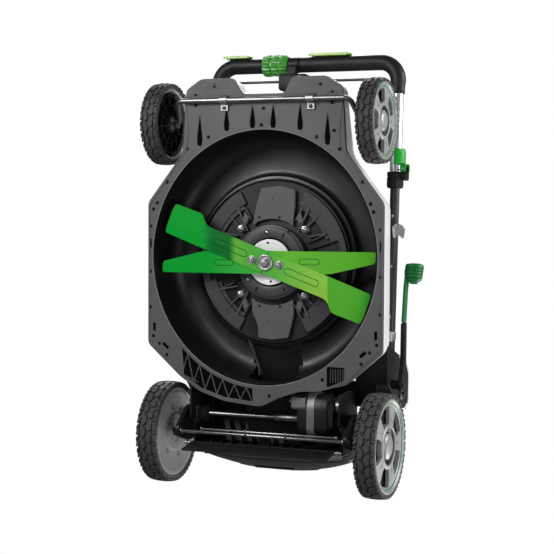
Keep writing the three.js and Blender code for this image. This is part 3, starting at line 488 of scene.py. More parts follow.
def sweep(points, radius, sides=14):
    # rings of a round bar through points (tuples), for Shape.rings
    path = [Vector(p) for p in points]
    up = Vector((0, 0, 1))
    rings = []
    frameX = None
    for i, point in enumerate(path):
        tangent = (path[min(i + 1, len(path) - 1)] - path[max(i - 1, 0)]).normalized()
        if frameX is None:
            side = up if abs(tangent.z) < 0.9 else Vector((0, 1, 0))
            frameX = tangent.cross(side).normalized()
        frameX = (frameX - tangent * frameX.dot(tangent)).normalized()
        frameY = tangent.cross(frameX)
        r = radius(i / (len(path) - 1)) if callable(radius) else radius
        rings.append([tuple(point + frameX * r * math.cos(2 * math.pi * k / sides)
                            + frameY * r * math.sin(2 * math.pi * k / sides)) for k in range(sides)])
    return rings


def bent(corners, reach, steps=8):
    # straight runs joined by round bends
    points = [Vector(corners[0])]
    for i in range(1, len(corners) - 1):
        corner = Vector(corners[i])
        back = (Vector(corners[i - 1]) - corner).normalized()
        ahead = (Vector(corners[i + 1]) - corner).normalized()
        half = back.angle(ahead) / 2
        centre = corner + (back + ahead).normalized() * reach / math.cos(half)
        start, end = corner + back * reach - centre, corner + ahead * reach - centre
        spread = start.angle(end)
        for step in range(steps + 1):
            t = step / steps
            points.append(centre + (start * math.sin(spread * (1 - t)) + end * math.sin(spread * t))
                          / math.sin(spread))
    points.append(Vector(corners[-1]))
    return [tuple(p) for p in points]


def hexHead(shape, x, y, z, radius, height, up=1, washer=0.0):
    # a hexagon head with a chamfer, and a washer where its radius is given; up is the way it faces
    flat = [(radius * math.cos(math.radians(a)), radius * math.sin(math.radians(a))) for a in range(0, 360, 60)]
    levels = [(1.0, 0.0), (1.0, 0.75), (0.86, 1.0)]
    rings = [[(x + px * k, y + py * k, z + up * height * h) for px, py in flat] for k, h in levels]
    shape.rings(rings)
    if washer:
        shape.lathe([(0.5, 0), (washer - 0.4, 0), (washer, 0.4), (washer, 1.6), (washer - 0.4, 2.0),
                     (0.5, 2.0)],
                    24, lambda a, b, c: (b + x, c + y, z - up * a))


def panScrew(shape, x, y, z, radius):
    # a domed screw head that faces down
    dome = [(radius, 0), (radius, 0.8), (radius * 0.86, 1.9), (radius * 0.5, 2.5), (radius * 0.2, 2.6)]
    shape.lathe(dome, 16, lambda a, b, c: (b + x, c + y, z - a), closed=False)


# camera, world, lights and floor
scene = bpy.context.scene
scene.view_settings.view_transform = "Standard"
scene.view_settings.look = "None"

cameraPlace = dict(stand=(1288.4, -138.3, -2993.8), right=(0.92537, -0.00558, 0.37902),
                   down=(0.02463, 0.99866, -0.04542), ahead=(-0.37827, 0.05137, 0.92427), lens=94.12)
cameraData = bpy.data.cameras.new("camera")
cameraData.sensor_width = 36
cameraData.lens = cameraPlace["lens"]
cameraData.clip_start, cameraData.clip_end = 0.05, 50
camera = bpy.data.objects.new("camera", cameraData)
axes = [Vector(cameraPlace["right"]), -Vector(cameraPlace["down"]), -Vector(cameraPlace["ahead"])]
facing = Matrix([[axes[column][row] for column in range(3)] for row in range(3)])
camera.matrix_world = Matrix.Translation(at(*cameraPlace["stand"])) @ facing.to_4x4()
scene.collection.objects.link(camera)
scene.camera = camera

world = bpy.data.worlds.new("studio")
scene.world = world
world.use_nodes = True
sky = world.node_tree
backdrop = sky.nodes["Background"]
light = dict(ambient=0.13, backdrop=1.0)
path = sky.nodes.new("ShaderNodeLightPath")
strength = remap(sky, path.outputs["Is Camera Ray"], 0, 1, light["ambient"], light["backdrop"])
sky.links.new(strength, backdrop.inputs["Strength"])
socket(backdrop, "Color", (1, 1, 1, 1))


def areaLight(name, stand, aim, size, power):
    data = bpy.data.lights.new(name, "AREA")
    data.shape = "RECTANGLE"
    data.size, data.size_y = size
    data.energy = power
    lamp = bpy.data.objects.new(name, data)
    lamp.location = at(*stand)
    lamp.rotation_euler = (at(*aim) - at(*stand)).to_track_quat("-Z", "Y").to_euler()
    scene.collection.objects.link(lamp)
    lamp.visible_camera = False


areaLight("keyBelow", (-1300, -1500, -2300), (0, 0, 80), (1.3, 1.3), 68)
areaLight("fillBelow", (2300, 600, -1500), (0, 0, 100), (1.8, 1.8), 34)
areaLight("rimRight", (2300, -900, 900), (0, 0, 150), (1.2, 1.8), 60)
areaLight("keyAbove", (-900, -1700, 2600), (0, 0, 150), (1.6, 1.6), 105)
areaLight("fillAbove", (1500, 1900, 1900), (0, 0, 150), (1.8, 1.8), 50)


def makeFloor():
    # white studio floor, seen only from above
    shape = Shape()
    ring = [(9000 * math.cos(math.radians(a)), 9000 * math.sin(math.radians(a)), -0.3)
            for a in range(0, 360, 15)]
    shape.add(ring, [tuple(range(len(ring)))])
    floor = shape.build("studioFloor")
    if floor.data.polygons[0].normal.z < 0:
        floor.data.flip_normals()
    material, tree, shader = newMaterial("floorPaper")
    paper = noiseNode(tree, 3, 2)
    tone = mixNode(tree, (0.80, 0.80, 0.80), (0.86, 0.86, 0.86))
    tree.links.new(paper.outputs["Fac"], tone.inputs["Factor"])
    tree.links.new(tone.outputs["Result"], shader.inputs["Base Color"])
    socket(shader, "Roughness", 0.8)
    geometry = tree.nodes.new("ShaderNodeNewGeometry")
    clear = tree.nodes.new("ShaderNodeBsdfTransparent")
    either = tree.nodes.new("ShaderNodeMixShader")
    tree.links.new(geometry.outputs["Backfacing"], either.inputs["Fac"])
    coords = tree.nodes.new("ShaderNodeTexCoord")
    spread = tree.nodes.new("ShaderNodeVectorMath")
    spread.operation = "LENGTH"
    tree.links.new(coords.outputs["Object"], spread.inputs[0])
    fade = remap(tree, spread.outputs["Value"], 0.55, 1.5, 0.0, 1.0)
    glow = tree.nodes.new("ShaderNodeEmission")
    ground = tree.nodes.new("ShaderNodeMixShader")
    tree.links.new(fade, ground.inputs["Fac"])
    tree.links.new(shader.outputs["BSDF"], ground.inputs[1])
    tree.links.new(glow.outputs["Emission"], ground.inputs[2])
    tree.links.new(ground.outputs["Shader"], either.inputs[1])
    tree.links.new(clear.outputs["BSDF"], either.inputs[2])
    tree.links.new(either.outputs["Shader"], tree.nodes["Material Output"].inputs["Surface"])
    floor.data.materials.append(material)
    floor.visible_shadow = False
    floor.visible_diffuse = False
    floor.visible_glossy = False


makeFloor()
print("camera, lights and floor placed")

# wheels
wheelSizes = {
    # radius, which is also the height of the axle, width, outer face, y of the axle, radius of the
    # rim, blocks round the tread, and height of a block
    "front": dict(radius=97, width=42, outer=284, y=-322, rim=85, pitches=22, lug=4.6),
    "rear": dict(radius=121, width=51, outer=294, y=413.5, rim=106, pitches=26, lug=5.2),
}


def slabFaces(count):
    # faces between two loops of the same number of corners
    faces = [tuple(range(count)), tuple(range(count, 2 * count))]
    return faces + [(i, (i + 1) % count, count + (i + 1) % count, count + i) for i in range(count)]


def treadBlock(shape, place, size, outline, turn, side):
    # one rubber block; outline is (degrees round, distance across from the middle of the tyre)
    top, root = size["radius"], size["radius"] - size["lug"] - 1.2
    middle = size["outer"] - size["width"] / 2
    verts = []
    for radius in (root, top):
        for angle, across in outline:
            crown = 2.4 * (abs(across) / (size["width"] / 2)) ** 2
            a = math.radians(angle + turn)
            r = radius - crown
            verts.append(place(side * (middle + across), r * math.cos(a), r * math.sin(a)))
    shape.add(verts, slabFaces(len(outline)))


def makeTyre(label, side, size, place, body):
    w, r = size["width"] / 2, size["radius"]
    middle = size["outer"] - w
    base = r - size["lug"]
    profile = []
    for across, radius in [(-w + 4, size["rim"] - 3), (-w + 1.2, size["rim"] + 3), (-w + 0.3, r - 14),
                           (-w + 1.5, r - 9.5), (-w + 5, base - 2), (-w / 2, base - 0.6), (0, base),
                           (w / 2, base - 0.6), (w - 5, base - 2), (w - 1.5, r - 9.5), (w - 0.3, r - 14),
                           (w - 1.2, size["rim"] + 3), (w - 4, size["rim"] - 3), (w - 9, size["rim"] - 6),
                           (-w + 9, size["rim"] - 6)]:
        profile.append((radius, side * (middle + across)))
    shape = Shape().lathe(profile, 96, place)
    step = 360 / size["pitches"]
    for i in range(size["pitches"]):
        turn = i * step
        for hand in (1, -1):
            shift = 0 if hand > 0 else step / 2
            hexagon = [(-0.30, 1.2), (0.12, 0.8), (0.36, 3.5), (0.34, w * 0.46), (0.08, w * 0.56),
                       (-0.34, w * 0.5)]
            arrow = [(0.46, w * 0.34), (0.66, w * 0.2), (0.84, w * 0.34), (0.78, w * 0.58), (0.52, w * 0.62)]
            shoulder = [(-0.36, w * 0.62), (0.18, w * 0.66), (0.28, w - 1.2), (-0.26, w - 1.2)]
            notch = [(0.38, w * 0.72), (0.56, w * 0.7), (0.60, w - 1.6), (0.40, w - 1.6)]
            for outline in (hexagon, arrow, shoulder, notch):
                points = [(k * step + shift, hand * across) for k, across in outline]
                treadBlock(shape, place, size, points, turn, side)
    # side lugs that step down the shoulder onto the sidewall
    for i in range(size["pitches"] * 2):
        a0 = i * step / 2
        long = i % 2 == 0
        for face in (1, -1):
            edge = middle + face * w
            low = r - (15 if long else 11)
            verts = []
            for radius in (low, r - 2.6):
                for k in (0.06, 0.30):
                    for inward in (1.6, 0.0):
                        a = math.radians(a0 + k * step)
                        lean = 1.0 if radius < r - 8 else 0.4
                        verts.append(place(side * (edge - face * (inward + lean * 0.4)),
                                           radius * math.cos(a), radius * math.sin(a)))
            shape.add(verts, boxFaces)
    tyre = shape.build("tyre" + label, at, 40, 0.5, 1, 45)
    finishPiece(tyre, body, "tyreRubber", ["tyre_" + nodeSuffix(label)])


def nodeSuffix(label):
    # FrontLeft to front_left
    return label[0].lower() + "".join("_" + c.lower() if c.isupper() else c for c in label[1:])


def makeRim(label, side, size, place, body):
    rim, outer, width = size["rim"], size["outer"], size["width"]

    def p(x):
        return side * x

    # barrel with the outer lip and the flat ring the spokes grow from
    barrel = [(rim - 1, p(outer - 2.5)), (rim + 1.5, p(outer - 1.4)), (rim + 1.8, p(outer - 0.4)),
              (rim + 0.4, p(outer)), (rim - 2.5, p(outer - 0.6)), (rim - 5, p(outer - 3.4)),
              (rim - 9, p(outer - 4.2)), (rim - 12, p(outer - 4.8)), (rim - 13.5, p(outer - 6.4)),
              (rim - 13.5, p(outer - 16)), (rim - 9, p(outer - 18)), (rim - 8, p(outer - width + 6)),
              (rim - 3, p(outer - width + 3)), (rim + 1, p(outer - width + 3)), (rim + 1, p(outer - width + 6)),
              (rim - 4, p(outer - width + 8)), (rim - 4, p(outer - 8))]
    shape = Shape().lathe(barrel, 96, place)
    hub = rim * 0.40
    ring = [(hub, p(outer - 3)), (hub + 1, p(outer - 2.2)), (hub + 7, p(outer - 2.6)),
            (hub + 9, p(outer - 4.4)),
            (hub + 9, p(outer - 15)), (hub, p(outer - 15))]
    shape.lathe(ring, 64, place)
    # five wedge spokes, each a pair of blades round a slot
    for i in range(5):
        turn = i * 72 + 18
        for hand in (1, -1):
            corners = [(hub + 6, 3.2), (hub + 6, 19), (rim * 0.60, 14.5), (rim - 12, 15.5), (rim - 12, 2.2),
                       (rim * 0.62, 1.7)]
            level = [(outer - 3.4), (outer - 3.4), (outer - 3.8), (outer - 4.8), (outer - 4.8), (outer - 3.8)]
            verts = []
            for depth in (0, 9):
                for (r, spread), x in zip(corners, level):
                    a = math.radians(turn + hand * spread)
                    verts.append(place(p(x - depth), r * math.cos(a), r * math.sin(a)))
            shape.add(verts, slabFaces(len(corners)))
    # a bridge closes each slot at the hub and at the rim, leaving a short slit
    for i in range(5):
        turn = i * 72 + 18
        for r0, r1 in ((hub + 6, hub + 15), (hub + 24, rim - 12)):
            verts = []
            for depth in (0.3, 8):
                for r, spread in ((r0, -4), (r1, -4), (r1, 4), (r0, 4)):
                    a = math.radians(turn + spread)
                    lift = 3.4 + 1.4 * (r - hub) / (rim - hub)
                    verts.append(place(p(outer - lift - depth), r * math.cos(a), r * math.sin(a)))
            shape.add(verts, loopFaces)
    disc = shape.build("rim" + label, at, 35, 0.7, 2, 40)
    finishPiece(disc, body, "wheelSilver", ["rim_" + nodeSuffix(label)])

    dish = [(7, p(outer - 14)), (rim - 12, p(outer - 17)), (rim - 11.5, p(outer - 19)), (7, p(outer - 19))]
    well = Shape().lathe(dish, 64, place)
    groove = [(hub - 9, p(outer - 9)), (hub + 1, p(outer - 6)), (hub + 1, p(outer - 15)),
              (hub - 9, p(outer - 15))]
    well.lathe(groove, 64, place)
    line = [(rim - 9.2, p(outer - 3.7)), (rim - 8.2, p(outer - 3.7)), (rim - 8.2, p(outer - 5)),
            (rim - 9.2, p(outer - 5))]
    well.lathe(line, 96, place)
    finishPiece(well.build("wheelWell" + label, at, 35, 0.4, 1), body, "blackPlastic")

    stripe = [(rim - 7.6, p(outer - 3.5)), (rim - 6.2, p(outer - 3.2)), (rim - 6.2, p(outer - 5)),
              (rim - 7.6, p(outer - 5))]
    finishPiece(Shape().lathe(stripe, 96, place).build("rimStripe" + label, at, 50), body, "greenPlastic")

    cap = [(0.6, p(outer - 0.6)), (hub * 0.30, p(outer - 0.8)), (hub * 0.55, p(outer - 1.8)),
           (hub * 0.68, p(outer - 4.5)), (hub * 0.72, p(outer - 8)), (hub * 0.72, p(outer - 14))]
    crown = Shape().lathe(cap, 48, place, closed=False)
    for i in range(6):
        a0 = math.radians(i * 60 + 10)
        verts = []
        for depth in (0, 1.4):
            for r, spread in ((hub * 0.18, -0.10), (hub * 0.5, -0.05), (hub * 0.5, 0.05), (hub * 0.18, 0.10)):
                verts.append(place(p(outer - 0.35 - depth - (r / hub) ** 2 * 3), r * math.cos(a0 + spread),
                                   r * math.sin(a0 + spread)))
        crown.add(verts, loopFaces)
    finishPiece(crown.build("hubCap" + label, at, 40), body, "wheelSilver")


def makeInnerFace(label, side, size, place, body, front):
    rim, outer, width = size["rim"], size["outer"], size["width"]
    inner = outer - width

    def p(x):
        return side * x

    if front:
        # open black web with thin ribs and a light bearing ring
        dish = [(12, p(inner + 16)), (rim - 6, p(inner + 20)), (rim - 6, p(inner + 22)), (12, p(inner + 22))]
        web = Shape().lathe(dish, 64, place)
        web.lathe([(14, p(inner + 3)), (19, p(inner + 3)), (21, p(inner + 6)), (22, p(inner + 18)),
                   (14, p(inner + 18))], 48, place)
        for radius in (rim * 0.52, rim * 0.78):
            web.lathe([(radius, p(inner + 9)), (radius + 1.8, p(inner + 9)), (radius + 2.2, p(inner + 19)),
                       (radius, p(inner + 19))], 64, place)
        for i in range(12):
            a = math.radians(i * 30 + 7)
            along, across = Vector((math.cos(a), math.sin(a))), Vector((-math.sin(a), math.cos(a)))
            verts = []
            for r, low in ((19, 6), (rim - 7, 11)):
                for half in (-0.9, 0.9):
                    for x in (low, 20):
                        spot = along * r + across * half
                        verts.append(place(p(inner + x), spot.x, spot.y))
            web.add(verts, boxFaces)
        finishPiece(web.build("wheelWeb" + label, at, 35, 0.3, 1), body, "blackPlastic")
        bearing = [(7, p(inner + 4.5)), (13.6, p(inner + 4.5)), (13.9, p(inner + 5.5)), (13.9, p(inner + 12)),
                   (7, p(inner + 12))]
        finishPiece(Shape().lathe(bearing, 40, place).build("wheelBearing" + label, at, 35, 0.3), body, "steel")
    else:
        disc = [(10, p(inner + 7)), (24, p(inner + 6)), (26, p(inner + 4.5)), (44, p(inner + 3.8)),
                (46, p(inner + 5.4)), (rim - 16, p(inner + 4.6)), (rim - 13, p(inner + 3)),
                (rim - 4, p(inner + 3)),
                (rim - 3, p(inner + 4)), (rim - 3, p(inner + 6)), (10, p(inner + 10))]
        cover = Shape().lathe(disc, 80, place)
        for i in range(6):
            a = math.radians(i * 60 + 15)
            y, z = 60 * math.cos(a), 60 * math.sin(a)
            boss = [(3.5, p(inner + 3.4)), (6, p(inner + 3.4)), (6.4, p(inner + 6)), (3.5, p(inner + 6))]
            cover.lathe(boss, 16, lambda q, b, c, y=y, z=z: place(q, b + y, c + z))
        finishPiece(cover.build("dustDisc" + label, at, 35, 0.4), body, "dustDisc")


for end, size in wheelSizes.items():
    for hand, side in (("Left", 1), ("Right", -1)):
        label = end.capitalize() + hand
        body = "wheel_" + end + "_" + hand.lower()
        place = turned(0, size["y"], size["radius"])
        makeTyre(label, side, size, place, body)
        makeRim(label, side, size, place, body)
        makeInnerFace(label, side, size, place, body, end == "front")
print("wheels done")

# deck
deckSizes = dict(chamberA=279, chamberB=294, chamberY=-11, plateLow=62, plateHigh=65.4, top=182)
deckPlan = [(53, -386), (72, -423), (155, -423), (193, -398), (202, -253), (292, -137), (292, 197), (208, 271),
            (138, 290), (95, 292), (46, 308), (1, 331), (-17, 331), (-93, 324), (-157, 304), (-208, 271),
            (-292, 197), (-292, -137), (-202, -253), (-193, -398), (-155, -423), (-72, -423), (-53, -386)]


def plate(name, outlines, z0, z1, edge):
    # a flat plate with holes: the first outline is the outside, the rest are cut out
    curve = bpy.data.curves.new(name, "CURVE")
    curve.dimensions = "2D"
    curve.fill_mode = "BOTH"
    curve.extrude = (z1 - z0) / 2000 - edge / 1000
    curve.bevel_depth = edge / 1000
    curve.bevel_resolution = 1
    curve.offset = -edge / 1000
    for outline in outlines:
        spline = curve.splines.new("POLY")
        spline.points.add(len(outline) - 1)
        for point, (x, y) in zip(spline.points, outline):
            point.co = (*at(x, y, 0), 1)
        spline.use_cyclic_u = True
    holder = bpy.data.objects.new(name + "Curve", curve)
    scene.collection.objects.link(holder)
    graph = bpy.context.evaluated_depsgraph_get()
    mesh = bpy.data.meshes.new_from_object(holder.evaluated_get(graph))
    mesh.transform(Matrix.Translation((0, 0, (z0 + z1) / 2000)))
    bpy.data.objects.remove(holder)
    bm = bmesh.new()
    bm.from_mesh(mesh)
    bmesh.ops.remove_doubles(bm, verts=bm.verts, dist=1e-6)
    for face in bm.faces:
        face.smooth = abs(face.normal.z) < 0.95
    bm.to_mesh(mesh)
    bm.free()
    mesh.name = name
    piece = bpy.data.objects.new(name, mesh)
    scene.collection.objects.link(piece)
    return piece


def circle(x, y, r, steps=20):
    return arc(r, 0, 360 - 360 / steps, steps - 1, x, y)


def ellipse(a, b, y, steps=120):
    angles = [2 * math.pi * i / steps for i in range(steps)]
    return [(a * math.cos(t), y + b * math.sin(t)) for t in angles]


def teardrop(x, y, length, width):
    # a slot that flares to its rear end, like the moulded grass combs at the nose
    return [(x, y), (x + width * 0.30, y + length * 0.35), (x + width * 0.5, y + length * 0.72),
            (x + width * 0.42, y + length * 0.95), (x + width * 0.2, y + length), (x - width * 0.2, y + length),
            (x - width * 0.42, y + length * 0.95), (x - width * 0.5, y + length * 0.72),
            (x - width * 0.30, y + length * 0.35)]


rimScrews = [(-121, -406), (140, -404), (2, -353), (-3, -315), (-136, -289), (132, -286), (-190, -262),
             (187, -258), (174, -300), (-242, -185), (242, -185), (-268, -136), (261, -136), (-278, -121),
             (268, -118), (-285.5, -81), (285, -79), (286, 26), (-286, 26), (169, -386), (-169, -386),
             (169, -363), (-169, -363), (-242, 222), (242, 222), (-262, 196), (262, 196), (-278, 178),
             (278, 178), (-286, 110), (286, 110), (150, 262), (20, 306)]
combSlots = [(-158, -338, 70), (-90, -360, 58), (-25, -360, 52), (26, -360, 52), (92, -360, 58),
             (158, -338, 70)]


def trussOutline():
    # pocket between the chamber and the outer edge at the rear right
    low = []
    for i in range(13):
        x = -203 + i * 15
        y = deckSizes["chamberY"] + (deckSizes["chamberB"] + 9) * math.sqrt(
            1 - (x / (deckSizes["chamberA"] + 9)) ** 2)
        low.append((x, y))
    return low + [(-21, 321), (-93, 314.5), (-152, 296), (-197, 269)]


def makeDeckPlate():
    mouth = ellipse(deckSizes["chamberA"], deckSizes["chamberB"], deckSizes["chamberY"])
    rear = roundCorners([(160, 232), (202, 232), (202, 262), (160, 279)], 4)
    truss = trussOutline()
    outside = roundCorners(deckPlan, 9, 4)
    holes = [circle(x, y, 4.0) for x, y in rimScrews]
    combs = [teardrop(x, y, length, 13) for x, y, length in combSlots]
    sides = []
    for hand in (1, -1):
        for corners, radius in (([(272, 148), (279, 146), (279, 166), (272, 168)], 2.5),
                                ([(236, 204), (250, 192), (255, 198), (241, 210)], 2.5),
                                ([(283, -52), (287, -52), (287, -30), (283, -30)], 2)):
            sides.append(roundCorners([(hand * x, y) for x, y in corners], radius))
    skin = plate("deckRim", [outside, mouth, truss, rear] + holes + combs + sides,
                 deckSizes["plateLow"], deckSizes["plateHigh"], 0.8)
    finishPiece(skin, "deck", "charcoal", ["deck_base"])
    # a near-black plate behind the rim, so its slots and screw holes show painted shadow
    throat = ellipse(deckSizes["chamberA"] + 1.5, deckSizes["chamberB"] + 1.5, deckSizes["chamberY"])
    core = plate("deckRimCore", [outside, throat], 65.5, 69.6, 0.4)
    finishPiece(core, "deck", "paintedShadowBlack")

    # raised ribs and pads moulded into the plate
    ribs = Shape()
    for x, y, length in combSlots:
        for hand in (1, -1):
            ribs.rings(sweep([(x + hand * 1.6, y - 4, 62.3), (x + hand * 4.6, y + length * 0.4, 62.2),
                              (x + hand * 7.6, y + length * 0.75, 62.2), (x + hand * 7, y + length - 3, 62.4)],
                             0.8, 6))
    for hand in (1, -1):
        for y in (-414, -408, -402):
            ribs.block((hand * 112 - 30, y, 61.2), (hand * 112 + 30, y + 1.8, 63))
        ring = arc(15, 0, 345, 23, hand * 169, -374)
        ribs.rings([[(x + dx, y + dy, z) for dx, dy, z in ((0, 0, 61.2), (1.4 * hand, 0, 62), (0, 0, 63))]
                    for x, y in ring], closed=True)
        ribs.rings(sweep([(hand * 196, -388, 62.2), (hand * 187, -300, 61.8), (hand * 190, -262, 61.8),
                          (hand * 272, -150, 61.8), (hand * 287.5, -128, 61.8), (hand * 288, 60, 61.8),
                          (hand * 288, 188, 61.8), (hand * 212, 262, 61.8), (hand * 160, 283, 62.2)], 1.3, 6))
    # boss round each screw
    for x, y in rimScrews:
        ribs.lathe([(4.1, 0.4), (4.3, -0.2), (5.0, -0.2), (5.3, 0.4)], 16,
                   lambda a, b, c, x=x, y=y: (b + x, c + y, a + 62), closed=True)
    finishPiece(ribs.build("deckRibs", at, 40), "deck", "charcoal")

    screws = Shape()
    for x, y in rimScrews:
        panScrew(screws, x, y, deckSizes["plateHigh"], 2.2)
    finishPiece(screws.build("rimScrews", at, 35), "deck", "blackPlastic")

    # raised bead round the mouth of the chamber, lighter grey as a painted highlight along the rim edge
    bead = []
    for i in range(160):
        a = 2 * math.pi * i / 160
        nx, ny = math.cos(a), math.sin(a)
        x = (deckSizes["chamberA"] + 0.5) * nx
        y = deckSizes["chamberY"] + (deckSizes["chamberB"] + 0.5) * ny
        bead.append([(x + nx * math.cos(b), y + ny * math.cos(b), 62.2 + math.sin(b))
                     for b in [2 * math.pi * k / 6 for k in range(6)]])
    finishPiece(Shape().rings(bead, closed=True).build("mouthBead", at, 80), "deck", "dustDisc")

    # zig-zag ribs in the pocket
    web = Shape()
    low = truss[:13]

    def outerEdge(x):
        ends = [(-203, 266), (-152, 296), (-93, 314.5), (-21, 321)]
        for (x0, y0), (x1, y1) in zip(ends, ends[1:]):
            if x <= x1:
                return y0 + (y1 - y0) * (x - x0) / (x1 - x0)
        return ends[-1][1]

    zig = [(low[i][0], low[i][1] if i % 2 else outerEdge(low[i][0])) for i in range(13)]
    for (x0, y0), (x1, y1) in zip(zig, zig[1:]):
        dx, dy = x1 - x0, y1 - y0
        norm = 0.9 / math.hypot(dx, dy)
        ox, oy = -dy * norm, dx * norm
        web.prism([(x0 + ox, y0 + oy), (x0 - ox, y0 - oy), (x1 - ox, y1 - oy), (x1 + ox, y1 + oy)], 62.6,
                  deckSizes["plateHigh"])
    for i in range(6):
        web.block((168 + i * 6, 236, 63), (169.2 + i * 6, 268, deckSizes["plateHigh"]))
    finishPiece(web.build("pocketRibs", at, 30), "deck", "charcoal")


def offsetOutline(points, distance):
    # moves a closed outline inwards along its corner normals (points run clockwise here)
    result = []
    count = len(points)
    for i in range(count):
        p, q, r = Vector(points[i - 1]), Vector(points[i]), Vector(points[(i + 1) % count])
        a, b = (q - p).normalized(), (r - q).normalized()
        na, nb = Vector((-a.y, a.x)), Vector((-b.y, b.x))
        normal = na + nb
        if normal.length < 1e-6:
            normal = na
        normal = normal.normalized() / max(0.5, normal.normalized().dot(na))
        result.append(tuple(q + normal * distance))
    return result


def area(points):
    return 0.5 * sum(points[i - 1][0] * points[i][1] - points[i][0] * points[i - 1][1]
                     for i in range(len(points)))


def makeDeckShell():
    plan = roundCorners(deckPlan, 16, 5)
    if area(plan) < 0:
        plan = plan[::-1]
    # each level is an inset and a height: a flange, a step, the leaning side, then a rounded shoulder
    levels = [(0.2, 70), (0.2, 74), (1.2, 75), (2.6, 76.5), (3.4, 96), (5.4, 114), (7.6, 120), (11.8, 127),
              (13.4, 136), (16.6, 158), (18.6, 168), (21.5, 176), (27, 180.6), (34, 182)]

    # the top falls away from noseStart to noseEnd
    noseStart, noseEnd, noseHeight, seat = -286, -440, 118, 70

    def slope(y):
        return noseHeight + (y - noseEnd) * (deckSizes["top"] - noseHeight) / (noseStart - noseEnd)

    rings = []
    for inset, z in levels:
        ring = []
        for x, y in offsetOutline(plan, inset):
            level = min(z, slope(y)) if y < noseStart else z
            ring.append((x, y, max(level, seat + (z - seat) * 0.2)))
        rings.append(ring)
    shape = Shape().rings(rings, caps=False)
    # roof: strips from the shoulder ring to the hood's footprint
    top = rings[-1]
    centre = []
    for x, y, z in top:
        reach = max(abs(x) / 150, abs(y) / 220, 1e-6)
        cx, cy = (x / reach, y / reach) if reach > 1 else (x, y)
        centre.append((cx, cy, min(181.8, slope(cy)) if cy < noseStart else 181.8))
    shape.rings([top, centre], caps=False)
    shell = shape.build("deckShell", at, 28)
    finishPiece(shell, "deck", "silverShell", ["deck_shell"])

    # dark pressed panels and ribs on the shoulders of the deck, with fixing screws
    trim = Shape()
    for hand in (1, -1):
        for i in range(5):
            y = -70 + i * 30
            trim.block((hand * 222 - 18, y, 181.2), (hand * 222 + 18, y + 7, 182))
    finishPiece(trim.build("deckVents", at, 30, 0.4, 1), "deck", "blackPlastic")
    bolts = Shape()
    for x, y in ((-200, -150), (200, -150), (-230, 150), (230, 150), (-120, -300), (120, -300)):
        hexHead(bolts, x, y, 181.6 if y > noseStart else 175.5, 4.6, 4, 1, 7)
    finishPiece(bolts.build("deckBolts", at, 30, 0.3, 1), "deck", "steel")


makeDeckPlate()
makeDeckShell()
print("deck plate and shell done")

# cutting chamber and motor well
chuteHalf = 61.5


def makeChamber():
    segments = 144
    a0, b0, cy = deckSizes["chamberA"], deckSizes["chamberB"], deckSizes["chamberY"]
    # inset of the wall from the mouth, and height
    profile = [(-0.5, 64), (-0.8, 90), (-3.5, 120), (-8, 140), (-14, 151), (-22, 159), (-31, 164.5), (-42, 167)]
    rings = [[((a0 + d) * math.cos(t), cy + (b0 + d) * math.sin(t), z)
              for t in [2 * math.pi * i / segments for i in range(segments)]] for d, z in profile]
    inner = [(214, 167), (208, 166), (203.5, 162), (201, 156), (200, 150), (193, 149.4), (191, 147),
             (190.4, 131)]
    rings += [[(r * math.cos(t), (r * math.sin(t)) * (1.0 if r < 205 else 1.01), z)
               for t in [2 * math.pi * i / segments for i in range(segments)]] for r, z in inner]
    shape = Shape()
    shape.verts = [p for ring in rings for p in ring]
    for i in range(len(rings) - 1):
        for j in range(segments):
            k = (j + 1) % segments
            face = (i * segments + j, i * segments + k, (i + 1) * segments + k, (i + 1) * segments + j)
            middle = sum((Vector(shape.verts[v]) for v in face), Vector()) / 4
            inChute = abs(middle.x) < 60 and middle.y > 214 and middle.z > 112
            if not inChute:
                shape.faces.append(face)
    liner = shape.build("chamberWall", at, 60)
    finishPiece(liner, "deck", "chamberBlack", ["chamber_liner"])

    # walls of the discharge chute, curving up to the rear
    chute = Shape()
    floor = [(281, 112), (289, 112), (340, 124), (400, 146), (440, 163)]
    roof = [(212, 168), (262, 173), (320, 190), (400, 232), (438, 252)]
    edge = [(241, 167.4), (252, 165), (261, 159.6), (269, 151.6), (275, 141), (279.5, 121)]
    for hand in (1, -1):
        x = hand * chuteHalf
        verts = [(x, y, z) for y, z in edge + floor] + [(x, y, z) for y, z in roof[::-1]]
        chute.add(verts, [tuple(range(len(verts)))])
    for line in (floor, roof):
        verts = [(x, y, z) for y, z in line for x in (-chuteHalf, chuteHalf)]
        chute.add(verts, [(2 * i, 2 * i + 1, 2 * i + 3, 2 * i + 2) for i in range(len(line) - 1)])
    for hand in (1, -1):
        chute.rings(sweep([(hand * 60.5, y - 0.6, z) for y, z in edge], 1.2, 6))
    finishPiece(chute.build("chuteWalls", at, 30), "deck", "blackPlastic")
    # curved vane that leads the clippings into the chute
    vane = Shape()
    spots = [(-70, 186, 150), (-64, 205, 154), (-57, 225, 157), (-50, 243, 158), (-44, 258, 154),
             (-39, 270, 143)]
    verts = [(x, y, height) for x, y, z in spots for height in (z, 169)]
    vane.add(verts, [(2 * i, 2 * i + 2, 2 * i + 3, 2 * i + 1) for i in range(len(spots) - 1)])
    vane.rings(sweep(spots, 1.2, 6))
    finishPiece(vane.build("chuteVane", at, 40), "deck", "charcoal")


